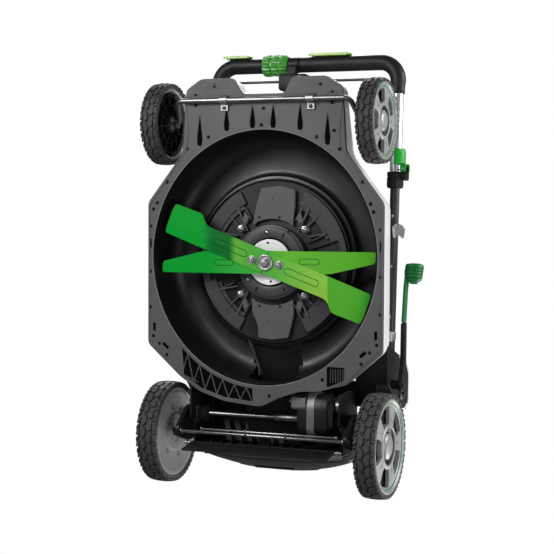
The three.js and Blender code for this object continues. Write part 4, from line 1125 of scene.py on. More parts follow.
def ringBand(shape, r0, r1, start, end, z0, z1):
    # part of a flat ring with thickness
    steps = 24
    outer, inner = arc(r1, start, end, steps), arc(r0, start, end, steps)
    verts = [(x, y, z0) for x, y in inner] + [(x, y, z0) for x, y in outer]
    verts += [(x, y, z1) for x, y in inner] + [(x, y, z1) for x, y in outer]
    n = steps + 1
    faces = []
    for i in range(steps):
        faces += [(i, i + 1, n + i + 1, n + i), (2 * n + i, 3 * n + i, 3 * n + i + 1, 2 * n + i + 1),
                  (i, 2 * n + i, 2 * n + i + 1, i + 1), (n + i, n + i + 1, 3 * n + i + 1, 3 * n + i)]
    faces += [(0, n, 3 * n, 2 * n), (n - 1, 3 * n - 1, 4 * n - 1, 2 * n - 1)]
    shape.add(verts, faces)


def radialRib(shape, angle, inner, outer, half, z0, z1):
    # a thin rib that runs out from the blade axis
    a = math.radians(angle)
    out, o = Vector((math.cos(a), math.sin(a))), Vector((-math.sin(a), math.cos(a))) * half
    p, q = out * inner, out * outer
    shape.prism([tuple(p + o), tuple(p - o), tuple(q - o), tuple(q + o)], z0, z1)


def makeHub():
    seat = 134  # ribs, bands and bosses of the well run up to this height
    # backing disc of the well
    base = Shape().lathe([(11, 131.5), (60, 133.5), (120, 136), (189.5, 136), (189.5, 139), (60, 139),
                          (11, 137)],
                         96, upright(0, 0, 0))
    finishPiece(base.build("hubPlate", at, 40), "deck", "chamberBlack", ["motor_mount"])

    # stepped grey band round the well, broken at the bridges
    band = Shape()
    for start, end, r0, r1, z in ((18, 62, 150, 184, 128.4), (22, 58, 141, 150, 130.2),
                                  (118, 164, 152, 184, 128.4),
                                  (120, 160, 142, 151, 130.2), (196, 243, 152, 184, 128.4),
                                  (200, 240, 142, 151, 130.2), (296, 342, 150, 184, 128.4),
                                  (300, 338, 141, 150, 130.2), (342, 378, 168, 184, 129.2),
                                  (164, 196, 168, 184, 129.2)):
        ringBand(band, r0, r1, start, end, z, seat)
    finishPiece(band.build("hubBand", at, 30, 0.9, 2), "deck", "bandGrey")

    # two bridges carry the motor to the well, front and rear
    bridge = Shape()
    front = [(-29, -172), (20, -177), (56, -168), (55, -128), (50, -84), (36, -94), (12, -100), (-12, -100),
             (-36, -94), (-50, -84), (-46, -110), (-39, -140)]
    rear = [(-52, 86), (-36, 95), (-12, 101), (12, 101), (36, 95), (52, 86), (54, 120), (47, 150), (40, 176),
            (0, 182), (-34, 178), (-36, 150), (-50, 118)]
    bridge.prism(roundCorners(front, 4, 3), 124.6, 132)
    bridge.prism(roundCorners(rear, 4, 3), 124.6, 132)
    finishPiece(bridge.build("hubBridges", at, 30, 1.0, 2), "deck", "charcoal")
    # black discs on the bridges stand in for holes: painted shade of the holes
    holes = Shape()
    for x, y in ((-33, -104), (18, -104), (-32, 104), (20, 104)):
        holes.lathe([(0.4, 124.3), (3.3, 124.3), (3.3, 126), (0.4, 126)], 16, upright(x, y, 0))
    for x, y in ((0, -148), (-12, 140)):
        holes.lathe([(1.2, 124.2), (2.0, 124.2), (2.0, 125), (1.2, 125)], 16, upright(x, y, 0))
    finishPiece(holes.build("bridgeHoles", at, 30), "deck", "blackPlastic")

    # bosses with bright screws, and thin ribs running out from them
    bosses, ribs, screws = Shape(), Shape(), Shape()
    for x, y in ((80, 77), (-80, 77), (-80, -77), (80, -77)):
        bosses.lathe([(3, 121.5), (6.4, 121.5), (7.2, 122.6), (9.5, seat), (3, seat)], 24, upright(x, y, 0))
        screws.lathe([(0.4, 117.4), (3.0, 117.6), (4.6, 118.8), (5.2, 120.6), (7.2, 120.9), (7.2, 121.8),
                      (0.4, 121.8)], 24, upright(x, y, 0))
        angle = math.degrees(math.atan2(y, x))
        for spread, reach in ((-16, 150), (0, 168), (17, 146)):
            radialRib(ribs, angle + spread, 112, reach, 1.1, 126, seat)
        side = 1 if x > 0 else -1
        up = 1 if y > 0 else -1
        for corners, low in (([(62, 72), (64, 70), (92, 126), (89, 128)], 125),
                             ([(88, 60), (90, 58), (134, 66), (133, 69)], 125),
                             ([(60, 104), (66, 88), (76, 96), (70, 116)], 123.5)):
            ribs.prism([(side * px, up * py) for px, py in corners], low, seat)
    finishPiece(bosses.build("hubBosses", at, 35, 0.4, 1), "deck", "castAluminium")
    finishPiece(ribs.build("hubRibs", at, 30, 0.4, 1), "deck", "charcoal")
    finishPiece(screws.build("hubScrews", at, 40), "deck", "steel")

    # cooling fins between the bosses at the sides
    fins = Shape()
    for hand in (0, 180):
        for i in range(7):
            radialRib(fins, hand - 27 + i * 9, 96, 148, 0.9, 128.5, seat)
    finishPiece(fins.build("hubFins", at, 30, 0.3, 1), "deck", "chamberBlack")

    # cover ring with three screws and small slots
    ring = Shape().lathe([(57, 112.5), (60, 110.6), (78, 110), (80.5, 110.8), (82, 113.6), (84.5, 114),
                          (87, 115.5),
                          (87.5, 129.4), (84, 129.4), (60, 129.4), (57, 126)], 96, upright(0, 0, 0))
    finishPiece(ring.build("coverRing", at, 35, 0.5, 2), "deck", "hoodPlastic", ["motor_cover_ring"])
    coverScrews, coverScrewRadius = (-97, 143, 23), 70
    bits = Shape()
    for a in coverScrews:
        x, y = polar(coverScrewRadius, a)
        bits.lathe([(0.4, 107.4), (2.6, 107.6), (4.0, 108.6), (4.4, 110.6), (0.4, 110.6)], 20, upright(x, y, 0))
    finishPiece(bits.build("coverScrews", at, 40), "deck", "steel")
    # black slots, hole dots and rings round the screws: painted shade of the slots, holes and screw recesses
    marks = Shape()
    for a, long in ((-62, 12), (118, 12), (-58, 0), (-150, 9), (60, 9)):
        c, s = math.cos(math.radians(a)), math.sin(math.radians(a))
        if long:
            marks.prism([(c * (72 - long / 2) - s * 2.2, s * (72 - long / 2) + c * 2.2),
                         (c * (72 - long / 2) + s * 2.2, s * (72 - long / 2) - c * 2.2),
                         (c * (72 + long / 2) + s * 2.2, s * (72 + long / 2) - c * 2.2),
                         (c * (72 + long / 2) - s * 2.2, s * (72 + long / 2) + c * 2.2)], 109.7, 111)
        else:
            marks.lathe([(0.4, 113.2), (3.2, 113.2), (3.2, 115), (0.4, 115)], 16, upright(c * 85, s * 85, 0))
    for a in coverScrews:
        x, y = polar(coverScrewRadius, a)
        marks.lathe([(4.8, 109.6), (6.2, 109.6), (6.2, 111), (4.8, 111)], 20, upright(x, y, 0))
    finishPiece(marks.build("coverMarks", at, 30), "deck", "blackPlastic")

    # machined flange that turns with the blades
    disc = Shape().lathe([(11, 106), (20, 106), (21, 107), (44, 107), (45, 106.2), (52.5, 106.2), (53.3, 107),
                          (53.3, 111.6), (11, 111.6)], 80, upright(0, 0, 0))
    finishPiece(disc.build("bladeFlange", at, 35, 0.3, 1), "spindle", "machinedDisc", ["blade_flange"])
    # black discs on the flange stand in for its holes: painted shade of the holes
    dark = Shape()
    for a in (85, 265, 25, 205):
        x, y = polar(45 if a in (85, 265) else 40, a)
        dark.lathe([(0.4, 105.9), (2.8, 105.9), (2.8, 107.4), (0.4, 107.4)], 16, upright(x, y, 0))
    finishPiece(dark.build("flangeHoles", at, 30), "spindle", "blackPlastic")


makeChamber()
makeHub()

innerParts = {"spindle_shaft": ("steel", 0.4), "motor_rotor": ("castAluminium", 0.8),
              "motor_stator": ("blackPlastic", 0.8)}
for obj in list(bpy.data.objects):
    if obj.name in innerParts:
        finish, width = innerParts[obj.name]
        obj.data.materials.clear()
        obj.data.materials.append(materials[finish])
        edgeSoftener = obj.modifiers.new("edges", "BEVEL")
        edgeSoftener.width, edgeSoftener.segments, edgeSoftener.limit_method = width / 1000, 2, "ANGLE"
print("chamber and motor well done")

# blades
bladeShapes = {
    # stations along the blade: distance, low edge, high edge; then the embossed slot and the twist
    "Lower": dict(z=82.0, thick=3.4, turn=20, paint="lowerBladePaintAndShade",
                  stations=[(0, -26, 26), (150, -26, 26), (164, -26, 26.5), (172, -26, 30), (180, -26, 38),
                            (187, -26, 46), (194, -26, 49), (258, -25, 47.5), (262, -24.5, 46), (264, -22, 40),
                            (265.5, -16, 28)],
                  slot=(50, 139, 0, 7.5), twist=[(88, 0), (102, 8), (158, 9), (178, 3), (266, 3)], ribs=True),
    "Upper": dict(z=86.0, thick=3.3, turn=0, paint="upperBladePaintAndShade",
                  stations=[(0, -27, 22), (60, -27, 23), (150, -27.5, 24), (160, -27.5, 23), (240, -28, 4),
                            (260, -28, -1), (263, -27.8, -3), (265, -27, -6), (266, -26, -10)],
                  slot=(82, 131, -3, 6.5), twist=[(150, 0), (266, 4)], ribs=False),
}


def between(table, s, column=1, key=0):
    # straight-line value of a column at s, where the rows are ordered by the key column
    for first, second in zip(table, table[1:]):
        if s <= second[key]:
            t = (s - first[key]) / (second[key] - first[key])
            return first[column] + (second[column] - first[column]) * max(t, 0)
    return table[-1][column]


def makeBlade(name, values):
    length = values["stations"][-1][0]
    turn = math.radians(values["turn"])
    along = [length * i / 150 for i in range(-150, 151)]
    across = 30
    slotStart, slotEnd, slotMiddle, slotHalf = values["slot"]

    def swung(s, n):
        return s * math.cos(turn) - n * math.sin(turn), s * math.sin(turn) + n * math.cos(turn)

    # the high edge changes sides at the middle, so each half is the other one turned half round
    rows = []
    for s in along:
        far, sign = abs(s), (1 if s >= 0 else -1)
        low, high = between(values["stations"], far, 1), between(values["stations"], far, 2)
        tilt = math.radians(between([(0, 0)] + values["twist"], far))
        row = []
        for k in range(across + 1):
            n = low + (high - low) * k / across
            # distance to the centre line of the slot; a ridge stands round it and a shallow floor inside
            end = max(slotStart + slotHalf - far, far - (slotEnd - slotHalf), 0)
            gap = math.hypot(end, n - slotMiddle) - slotHalf
            dent = 1.5 * max(0, 1 - abs(gap) / 1.8) - (0.5 if gap < 0 else 0)
            if values["ribs"] and 92 < far < 162:
                fade = min(1, (far - 92) / 8, (162 - far) / 8)
                for line in (-19, -13, 13, 19):
                    dent += fade * 0.7 * max(0, 1 - abs(n - line) / 1.6)
            lift = max(0.0, n - slotMiddle) * math.tan(tilt) + min(0.0, n - slotMiddle) * math.tan(tilt) * 0.3
            plain = values["z"] + max(lift, 0)
            row.append((*swung(s, n * sign), plain + max(0, dent), plain + values["thick"]))
        rows.append(row)
    cols = across + 1
    verts = [(x, y, under) for row in rows for x, y, under, upper in row]
    start = len(verts)
    verts += [(x, y, upper) for row in rows for x, y, under, upper in row]
    faces = []
    for i in range(len(rows) - 1):
        for k in range(across):
            a = i * cols + k
            faces.append((a, a + 1, a + cols + 1, a + cols))
            faces.append((start + a, start + a + cols, start + a + cols + 1, start + a + 1))
        for k in (0, across):
            a = i * cols + k
            faces.append((a, a + cols, start + a + cols, start + a))
    for i in (0, len(rows) - 1):
        for k in range(across):
            a = i * cols + k
            faces.append((a, a + 1, start + a + 1, start + a))
    blade = Shape().add(verts, faces)
    finishPiece(blade.build("blade" + name, at, 50), "spindle", values["paint"], ["blade_" + name.lower()])

    # thin dark line along the bottom of the groove round each slot: painted shade in the groove
    groove = Shape()
    outline = [(slotStart + slotHalf - slotHalf * math.sin(a), slotMiddle + slotHalf * math.cos(a))
               for a in [math.pi * i / 8 for i in range(9)]]
    outline += [(slotEnd - slotHalf + slotHalf * math.sin(a), slotMiddle - slotHalf * math.cos(a))
                for a in [math.pi * i / 8 for i in range(9)]]
    for hand in (1, -1):
        loop = []
        for i, (s0, n0) in enumerate(outline):
            s1, n1 = outline[(i + 1) % len(outline)]
            pieces = max(1, round(math.hypot(s1 - s0, n1 - n0) / 4))
            for k in range(pieces):
                s, n = s0 + (s1 - s0) * k / pieces, n0 + (n1 - n0) * k / pieces
                tilt = math.tan(math.radians(between([(0, 0)] + values["twist"], s)))
                lift = max(0.0, max(0.0, n - slotMiddle) * tilt + min(0.0, n - slotMiddle) * tilt * 0.3)
                x, y = swung(s, n)
                loop.append((hand * x, hand * y, values["z"] + lift + 0.5))
        strip = []
        for i, (x, y, z) in enumerate(loop):
            before, after = loop[i - 1], loop[(i + 1) % len(loop)]
            dx, dy = after[0] - before[0], after[1] - before[1]
            norm = 0.8 / max(1e-6, math.hypot(dx, dy))
            ox, oy = -dy * norm, dx * norm
            strip.append([(x + ox, y + oy, z), (x, y, z - 0.5), (x - ox, y - oy, z), (x, y, z + 0.6)])
        groove.rings(strip, closed=True)
    finishPiece(groove.build("grooves" + name, at, 60), "spindle", "grooveShadeGreen")


for name, values in bladeShapes.items():
    makeBlade(name, values)


def makeBladeBolts():
    bolt = Shape()
    bolt.lathe([(5.8, 78.4), (17.5, 77.4), (18.8, 78.2), (19, 79.6), (18.4, 81.4), (5.8, 81.6)], 48,
               upright(0, 0, 0))
    hexHead(bolt, 0, 0, 77.8, 10.5, 8.6, -1)
    bolt.lathe([(0.5, 68.9), (4.5, 68.9), (6.4, 69.4), (6.4, 70), (0.5, 70)], 24, upright(0, 0, 0))
    finishPiece(bolt.build("bladeBolt", at, 30, 0.5, 2), "spindle", "steel", ["blade_bolt"])
    a = math.radians(9)
    for side in (1, -1):
        x, y = side * 34 * math.cos(a), side * 34 * math.sin(a)
        nut = Shape()
        nut.lathe([(3.4, 79.8), (9.6, 79.4), (10.2, 80.0), (10.2, 81.4), (3.4, 81.6)], 32, upright(x, y, 0))
        hexHead(nut, x, y, 79.9, 7.4, 5.6, -1)
        nut.lathe([(0.4, 72.4), (2.4, 72.2), (3.2, 73), (3.2, 76), (0.4, 76)], 20, upright(x, y, 0))
        label = "Left" if side > 0 else "Right"
        finishPiece(nut.build("bladeNut" + label, at, 30, 0.4, 2), "spindle", "steel",
                    ["blade_nut_" + label.lower()])


makeBladeBolts()
print("blades done")


def alongX(a, b, c):
    # turns a prism drawn in y and z so that its height runs along x
    return (c, a, b)


def sideRib(shape, start, end, half, x0, x1):
    # a straight rib on a side plate between two points (y, z)
    (y0, z0), (y1, z1) = start, end
    d = Vector((y1 - y0, z1 - z0)).normalized()
    o = Vector((-d.y, d.x)) * half
    shape.prism([(y0 + o.x, z0 + o.y), (y0 - o.x, z0 - o.y), (y1 - o.x, z1 - o.y), (y1 + o.x, z1 + o.y)],
                x0, x1, alongX)


# front axle
axleSizes = dict(barY=-372, barZ=54, radius=6, end=272, clips=(119, -94))


def makeFrontAxle():
    y, z, end = axleSizes["barY"], axleSizes["barZ"], axleSizes["end"]
    wheel = wheelSizes["front"]
    corners = [(-end, wheel["y"], wheel["radius"]), (-226, wheel["y"], wheel["radius"]), (-212, y, z),
               (212, y, z), (226, wheel["y"], wheel["radius"]), (end, wheel["y"], wheel["radius"])]
    bar = Shape().rings(sweep(bent(corners, 14, 8), axleSizes["radius"] - 0.05, 20))
    for hand in (1, -1):
        for x in (232, 238):
            bar.lathe([(6, 0), (10.5, 0), (11, 0.5), (11, 2), (6, 2.4)], 24,
                      turned(hand * x, wheel["y"], wheel["radius"]))
    finishPiece(bar.build("frontAxle", at, 40), "front_crank", "axleSteel", ["front_axle"])
    for label, x in (("Left", axleSizes["clips"][0]), ("Right", axleSizes["clips"][1])):
        outer = [(-384, 61.4), (-384, 59)] + arc(9.2, 180, 360, 12, y, z) + [(-362.8, 57.8), (-348, 57.8),
                                                                             (-348, 60), (-364.6, 60)]
        inner = [(-365.4, 61.4)] + arc(6.5, 360, 180, 12, y, z) + [(-378.6, 61.4)]
        clip = Shape().prism(outer + inner, x - 9, x + 9, alongX)
        clip.block((x - 9, -384, 60), (x + 9, -379, 61.4))
        for edge in (-9.2, 8.2):
            clip.block((x + edge, -362, 57.2), (x + edge + 1, -350, 58.2))
        finishPiece(clip.build("axleClip" + label, at, 35, 0.4, 2), "deck", "clipSteel",
                    ["axle_clip_" + label.lower()])
        screw = Shape()
        screw.lathe([(0.4, 55.2), (3.4, 55.4), (4.6, 56.4), (4.8, 57.9), (0.4, 57.9)], 20, upright(x, -355, 0))
        screw.block((x - 2.8, -355.5, 54.9), (x + 2.8, -354.5, 55.6))
        finishPiece(screw.build("clipScrew" + label, at, 35), "deck", "tubeBlack")


makeFrontAxle()

# rear drive bay
drive = dict(shaftY=363, shaftZ=120, half=188, back=440)


def makeCarriage():
    size = wheelSizes["rear"]
    for side, label in ((1, "Left"), (-1, "Right")):
        low = 204 if side > 0 else -214
        outline = [(345, 134), (427, 135), (430, 108), (412, 50), (390, 48), (345, 106)]
        arm = Shape().prism(roundCorners(outline, 9, 4), low + 0.4, low + 9.6, alongX)
        face = low + 9.6 if side > 0 else low + 0.4
        for start, end in (((352, 112), (396, 66)), ((372, 128), (418, 120)), ((404, 62), (422, 104))):
            sideRib(arm, start, end, 1.2, min(face, face - side * 1.0) - 0.3, max(face, face + side * 0.3))
        arm.lathe([(6, 0), (11.6, 0), (12, 0.6), (12, 18.6), (6, 18.6)], 32,
                  turned(214 if side > 0 else -232.6, size["y"], size["radius"]))
        finishPiece(arm.build("rearArm" + label, at, 35, 0.8, 2), "rear_carriage", "blackPlastic",
                    ["rear_arm_" + label.lower()])
        stub = Shape().lathe([(0.4, 0), (5.6, 0), (6, 0.6), (6, 49.4), (5.6, 50), (0.4, 50)], 24,
                             turned(232 if side > 0 else -282, size["y"], size["radius"]))
        finishPiece(stub.build("rearStub" + label, at, 40), "rear_carriage", "axleSteel")
    rods = Shape().lathe([(0.3, -216), (3.6, -216), (4, -215.5), (4, 215.5), (3.6, 216), (0.3, 216)], 20,
                         turned(0, 400, 60))
    for x in (-203, 201):
        rods.lathe([(4, 0), (7.4, 0), (7.8, 0.4), (7.8, 2), (4, 2.2)], 20, turned(x, 400, 60))
    rods.lathe([(0.3, -150), (2.2, -150), (2.4, -149.6), (2.4, 189.6), (2.2, 190), (0.3, 190)], 16,
               turned(0, 391.6, 57))
    for x in (-150, -40, 60, 184):
        rods.prism(roundCorners([(388, 54), (402, 56), (402, 64), (388, 60)], 2), x, x + 5, alongX)
    finishPiece(rods.build("tieRod", at, 40), "rear_carriage", "axleSteel", ["tie_rod"])


def makeDriveLine():
    y, z = drive["shaftY"], drive["shaftZ"]
    shaft = Shape().lathe([(0.4, -222), (4.4, -222), (5, -221.2), (5, 11), (8.2, 11.6), (8.9, 13), (8.9, 68),
                           (8.2, 69.6), (5, 70), (5, 221.2), (4.4, 222), (0.4, 222)], 28, turned(0, y, z))
    for x in (-150, -30, 30, 50):
        r = 5 if x < 11 else 8.9
        shaft.lathe([(r, 0), (r + 0.5, 0.3), (r + 0.5, 2.2), (r, 2.5)], 28, turned(x, y, z))
    finishPiece(shaft.build("driveShaft", at, 35), "drive_line", "axleSteel", ["drive_shaft"])
    for side, label in ((1, "Left"), (-1, "Right")):
        start = 222.4 if side > 0 else -234.4
        gear = []
        for i in range(48):
            r = 12 if i % 4 < 2 else 9.6
            gear.append((y + r * math.cos(math.pi * i / 24), z + r * math.sin(math.pi * i / 24)))
        pinion = Shape().prism(gear, start + 0.6, start + 11.4, alongX)
        pinion.lathe([(5, 0), (8.5, 0), (8.8, 0.4), (8.8, 11.8), (5, 12)], 24, turned(start, y, z))
        finishPiece(pinion.build("pinion" + label, at, 35, 0.3, 1), "drive_line", "axleSteel",
                    ["pinion_" + label.lower()])


def makeBellows():
    for label, start in (("Left", 190), ("Right", -202)):
        rubber = []
        for i in range(4):
            rubber += [(11, i * 3.2), (16.5, i * 3.2 + 0.7), (17, i * 3.2 + 1.6), (16.5, i * 3.2 + 2.3)]
        rubber += [(11, 12.4), (6, 12.6), (6, 0)]
        boot = Shape().lathe(rubber, 40, turned(start, drive["shaftY"], drive["shaftZ"]))
        finishPiece(boot.build("shaftBoot" + label, at, 30), "deck", "flapRubber")
        inside = []
        start = 158 if label == "Left" else -183
        for i in range(5):
            inside += [(12, i * 4.6), (19.5, i * 4.6 + 1.0), (20.5, i * 4.6 + 2.2), (19.5, i * 4.6 + 3.4)]
        inside += [(12, 23.6), (7, 24), (7, 0)]
        boot = Shape().lathe(inside, 48, turned(start, drive["shaftY"], drive["shaftZ"]))
        finishPiece(boot.build("innerBoot" + label, at, 30), "deck", "flapRubber")


def makeGearbox():
    cy, cz = 349, 120
    side = [(300, 96), (330, 84), (386, 84), (398, 104), (398, 142), (380, 156), (320, 156), (300, 140)]
    case = Shape()

    def shrunk(k):
        return [(cy + (py - cy) * k, cz + (pz - cz) * k) for py, pz in side]

    rings = []
    for x, k in ((76, 0.70), (80, 0.90), (84, 0.96), (101, 0.99), (124, 0.99), (146, 0.97), (152, 0.93),
                 (153, 0.80),
                 (164, 0.72)):
        rings.append([(x, py, pz) for py, pz in roundCorners(shrunk(k), 10, 3)])
    case.rings(rings)
    for i in range(7):
        case.prism(roundCorners(shrunk(1.0), 10, 3), 128 + i * 3.2, 129.4 + i * 3.2, alongX)
    case.block((100, 322, 150), (140, 358, 190.5))
    case.prism(roundCorners([(304, 90), (318, 84.5), (318, 100), (304, 108)], 2), 64, 92, alongX)
    finishPiece(case.build("driveGearbox", at, 32, 0.6, 2), "deck", "chamberBlack", ["drive_gearbox"])
    my, mz = 330, 128
    motor = Shape().lathe([(4, 0), (20, 0), (23, 1.5), (24, 4), (24, 19), (22, 21.6), (4, 22)], 40,
                          turned(160, my, mz))
    for i in range(10):
        a = math.radians(i * 36)
        motor.prism([(my + r * math.cos(a) + dy, mz + r * math.sin(a) + dz)
                     for r, dy, dz in ((14, -0.8, -0.8), (14, 0.8, -0.8), (20, 0.8, 0.8), (20, -0.8, 0.8))],
                    181.4, 182, alongX)
    finishPiece(motor.build("driveMotor", at, 35, 0.3, 1), "deck", "axleSteel")
    strap = Shape()
    outer, inner = roundCorners(shrunk(1.045), 10, 4), roundCorners(shrunk(0.985), 10, 4)
    strap.rings([[(104, a, b) for a, b in inner], [(104, a, b) for a, b in outer],
                 [(122, a, b) for a, b in outer], [(122, a, b) for a, b in inner]], closed=True)
    strap.prism(roundCorners([(396, 86), (404, 86), (404, 98), (396, 100)], 2), 106, 120, alongX)
    strap.lathe([(0.4, 0), (4, 0), (4.6, 1), (4.6, 5), (0.4, 5)], 20, turned(102, 398, 90))
    finishPiece(strap.build("gearboxStrap", at, 35, 0.5, 2), "deck", "strapGrey")
    lug = Shape().prism(roundCorners([(308, 84), (332, 82.5), (338, 90), (330, 98), (308, 96)], 3), 66, 100,
                        alongX)
    lug.lathe([(2, 0), (5, 0), (5.4, 0.6), (5.4, 6), (2, 6)], 20, turned(60.6, 318, 90))
    finishPiece(lug.build("gearboxLug", at, 35, 0.6, 2), "deck", "strapGrey")


def makeHousing():
    half, back = drive["half"], drive["back"]
    shell = Shape()
    shell.block((-half, 276, 192), (half, back, 196))
    shell.block((-half, 276, 182.4), (half, 280, 194))
    cheek = roundCorners([(296, 74), (372, 74), (372, 96), (back, 96), (back, 194), (296, 194)], 6, 3)
    for low in (half - 4, -half):
        shell.prism(cheek, low, low + 4, alongX)
    duct = [(289, 101), (back, 157), (back, 258), (289, 176)]
    for low in (-65, 62):
        shell.prism(duct, low, low + 3, alongX)
    shell.prism([(289, 101), (back, 157), (back, 160), (289, 104)], -65, 65, alongX)
    shell.prism([(289, 173), (back, 255), (back, 258), (289, 176)], -65, 65, alongX)
    # cross wall and stiffeners that close the bay in front of the shaft
    shell.block((-half + 4, 432, 100), (half - 4, 436, 194))
    for i in range(9):
        x = -150 + i * 26
        shell.prism([(424, 106), (432, 106), (432, 158), (428, 158)], x, x + 4, alongX)
    for i in range(6):
        x = -134 + i * 27
        shell.add([(x, 378, 150), (x + 14, 378, 150), (x + 26, 428, 141), (x + 12, 428, 141),
                   (x, 378, 155), (x + 14, 378, 155), (x + 26, 428, 153), (x + 12, 428, 153)],
                  loopFaces)
    for x in (-176, -168, 168, 176):
        shell.block((x - 1, 300, 158), (x + 1, 430, 192))
    for hand in (1, -1):
        for y in (306, 330, 398, 420):
            shell.block((hand * 180 - 4, y, 104), (hand * 180 + 4, y + 2, 190))
    finishPiece(shell.build("rearHousing", at, 30, 0.6, 1), "deck", "blackPlastic", ["rear_housing"])
    # bearing plates round the shaft with screws
    plates = Shape()
    for hand in (1, -1):
        x = hand * 182
        ring = roundCorners([(340, 98), (386, 98), (390, 124), (378, 146), (348, 146), (336, 124)], 6, 3)
        plates.prism(ring, x - 1.6, x + 1.6, alongX)
        for y, z in ((346, 104), (380, 104), (352, 140), (374, 140)):
            plates.lathe([(0.4, 0), (3.4, 0.2), (4, 1), (4, 3), (0.4, 3)], 16,
                         turned(x - (4.2 if hand > 0 else -1.4), y, z))
    finishPiece(plates.build("bearingPlates", at, 30, 0.4, 1), "deck", "tubeBlack")
    clip = Shape()
    clip.prism(roundCorners([(392, 66), (408, 66), (408, 78), (432, 86), (432, 100), (426, 100), (392, 78)], 3),
               -12, 12, alongX)
    clip.prism(roundCorners([(394, 64.6), (406, 64.6), (406, 69), (394, 69)], 1.5), -17, 17, alongX)
    finishPiece(clip.build("rodClip", at, 30, 0.6, 1), "deck", "blackPlastic")


def makeFlap():
    flap = Shape()
    flap.prism([(424.5, 62), (430, 62), (438, 14.2), (433.4, 14.2)], -179.5, 179.5, alongX)
    for x in range(-168, 180, 24):
        flap.prism([(423, 62), (425.5, 62), (434.5, 20), (433, 20)], x - 1.5, x + 1.5, alongX)
    flap.prism(roundCorners([(422.6, 60), (431.5, 60), (431.5, 67), (422.6, 67)], 2.4), -179.5, 179.5, alongX)
    flap.prism([(432.4, 18), (438, 18), (438.4, 14), (432.6, 14)], -180, 180, alongX)
    finishPiece(flap.build("trailingFlap", at, 30, 0.5, 1), "flap", "flapRubber", ["trailing_flap"])
    rod = Shape().lathe([(0.3, -196), (2.6, -196), (3, -195.6), (3, 195.6), (2.6, 196), (0.3, 196)], 16,
                        turned(0, 427, 64))
    for x in (-192, 188):
        rod.lathe([(3, 0), (5.6, 0), (6, 0.4), (6, 3.6), (3, 4)], 16, turned(x, 427, 64))
    finishPiece(rod.build("flapRod", at, 40), "flap", "axleSteel")


doorSizes = dict(middle=10, half=175.6, face=446)


def doorBulge(u):
    # how far the door swells at u, which runs from -1 to 1 across it
    return 0.42 + 0.58 * (1 - abs(u) ** 2.6)


def makeRearDoor():
    profile = [(446, 264), (455, 262), (464, 256), (474, 244), (483, 226), (489, 204), (491.6, 180),
               (490.6, 158),
               (486, 136), (478.5, 116), (469, 101), (462, 92.4)]
    middle, half, face = doorSizes["middle"], doorSizes["half"], doorSizes["face"]
    rows = []
    steps = 44
    for i in range(steps + 1):
        u = -1 + 2 * i / steps
        bulge = doorBulge(u)
        x = middle + half * u
        rows.append([(x, face + (y - face) * bulge, z - 10 * (1 - bulge) * (1 if z > 200 else -1)) for y,
                     z in profile])
    door = Shape()
    count = len(profile)
    for row in (rows, [[(x, y - 3.6, z - (2 if z > 240 else 0)) for x, y, z in r] for r in rows]):
        verts = [p for r in row for p in r]
        faces = [(i * count + j, i * count + j + 1, (i + 1) * count + j + 1, (i + 1) * count + j)
                 for i in range(steps) for j in range(count - 1)]
        door.add(verts, faces)
    for i in range(steps):
        low = [rows[i][-1], rows[i + 1][-1]]
        door.add([low[0], low[1], (low[1][0], 440.6, 103), (low[0][0], 440.6, 103)], [(0, 1, 2, 3)])
    total = (steps + 1) * count
    for i in range(steps):
        for j in (0, count - 1):
            a = i * count + j
            door.faces.append((a, a + count, total + a + count, total + a))
    for i in (0, steps):
        for j in range(count - 1):
            a = i * count + j
            door.faces.append((a, a + 1, total + a + 1, total + a))
    finishPiece(door.build("rearDoor", at, 35), "rear_cover", "hoodPlastic", ["rear_door"])
    trim = Shape()
    for i in range(5):
        z = 150 + i * 14
        trim.rings(sweep([(middle + 100 * u,
                           face + 45.2 * doorBulge(100 * u / half) - 0.6 - abs(z - 178) * 0.03, z)
                          for u in [k / 10 for k in range(-10, 11)]], 1.5, 6))
    trim.prism(roundCorners([(462, 120), (484, 122), (487, 128), (484, 131), (464, 127)], 2), -40, 60, alongX)
    for hand in (1, -1):
        trim.prism(roundCorners([(444, 262), (452, 262), (460, 250), (460, 110), (454, 100), (444, 104)], 4),
                   middle + hand * 172 - 1.6, middle + hand * 172 + 1.6, alongX)
    finishPiece(trim.build("rearDoorRibs", at, 30, 0.4, 1), "rear_cover", "blackPlastic")
    hinge = Shape()
    for x in (-120, 10, 140):
        hinge.lathe([(0.4, -14), (3.6, -14), (4, -13.4), (4, 13.4), (3.6, 14), (0.4, 14)], 20,
                    turned(x, 447, 260))
    finishPiece(hinge.build("doorHinge", at, 40), "rear_cover", "tubeBlack")


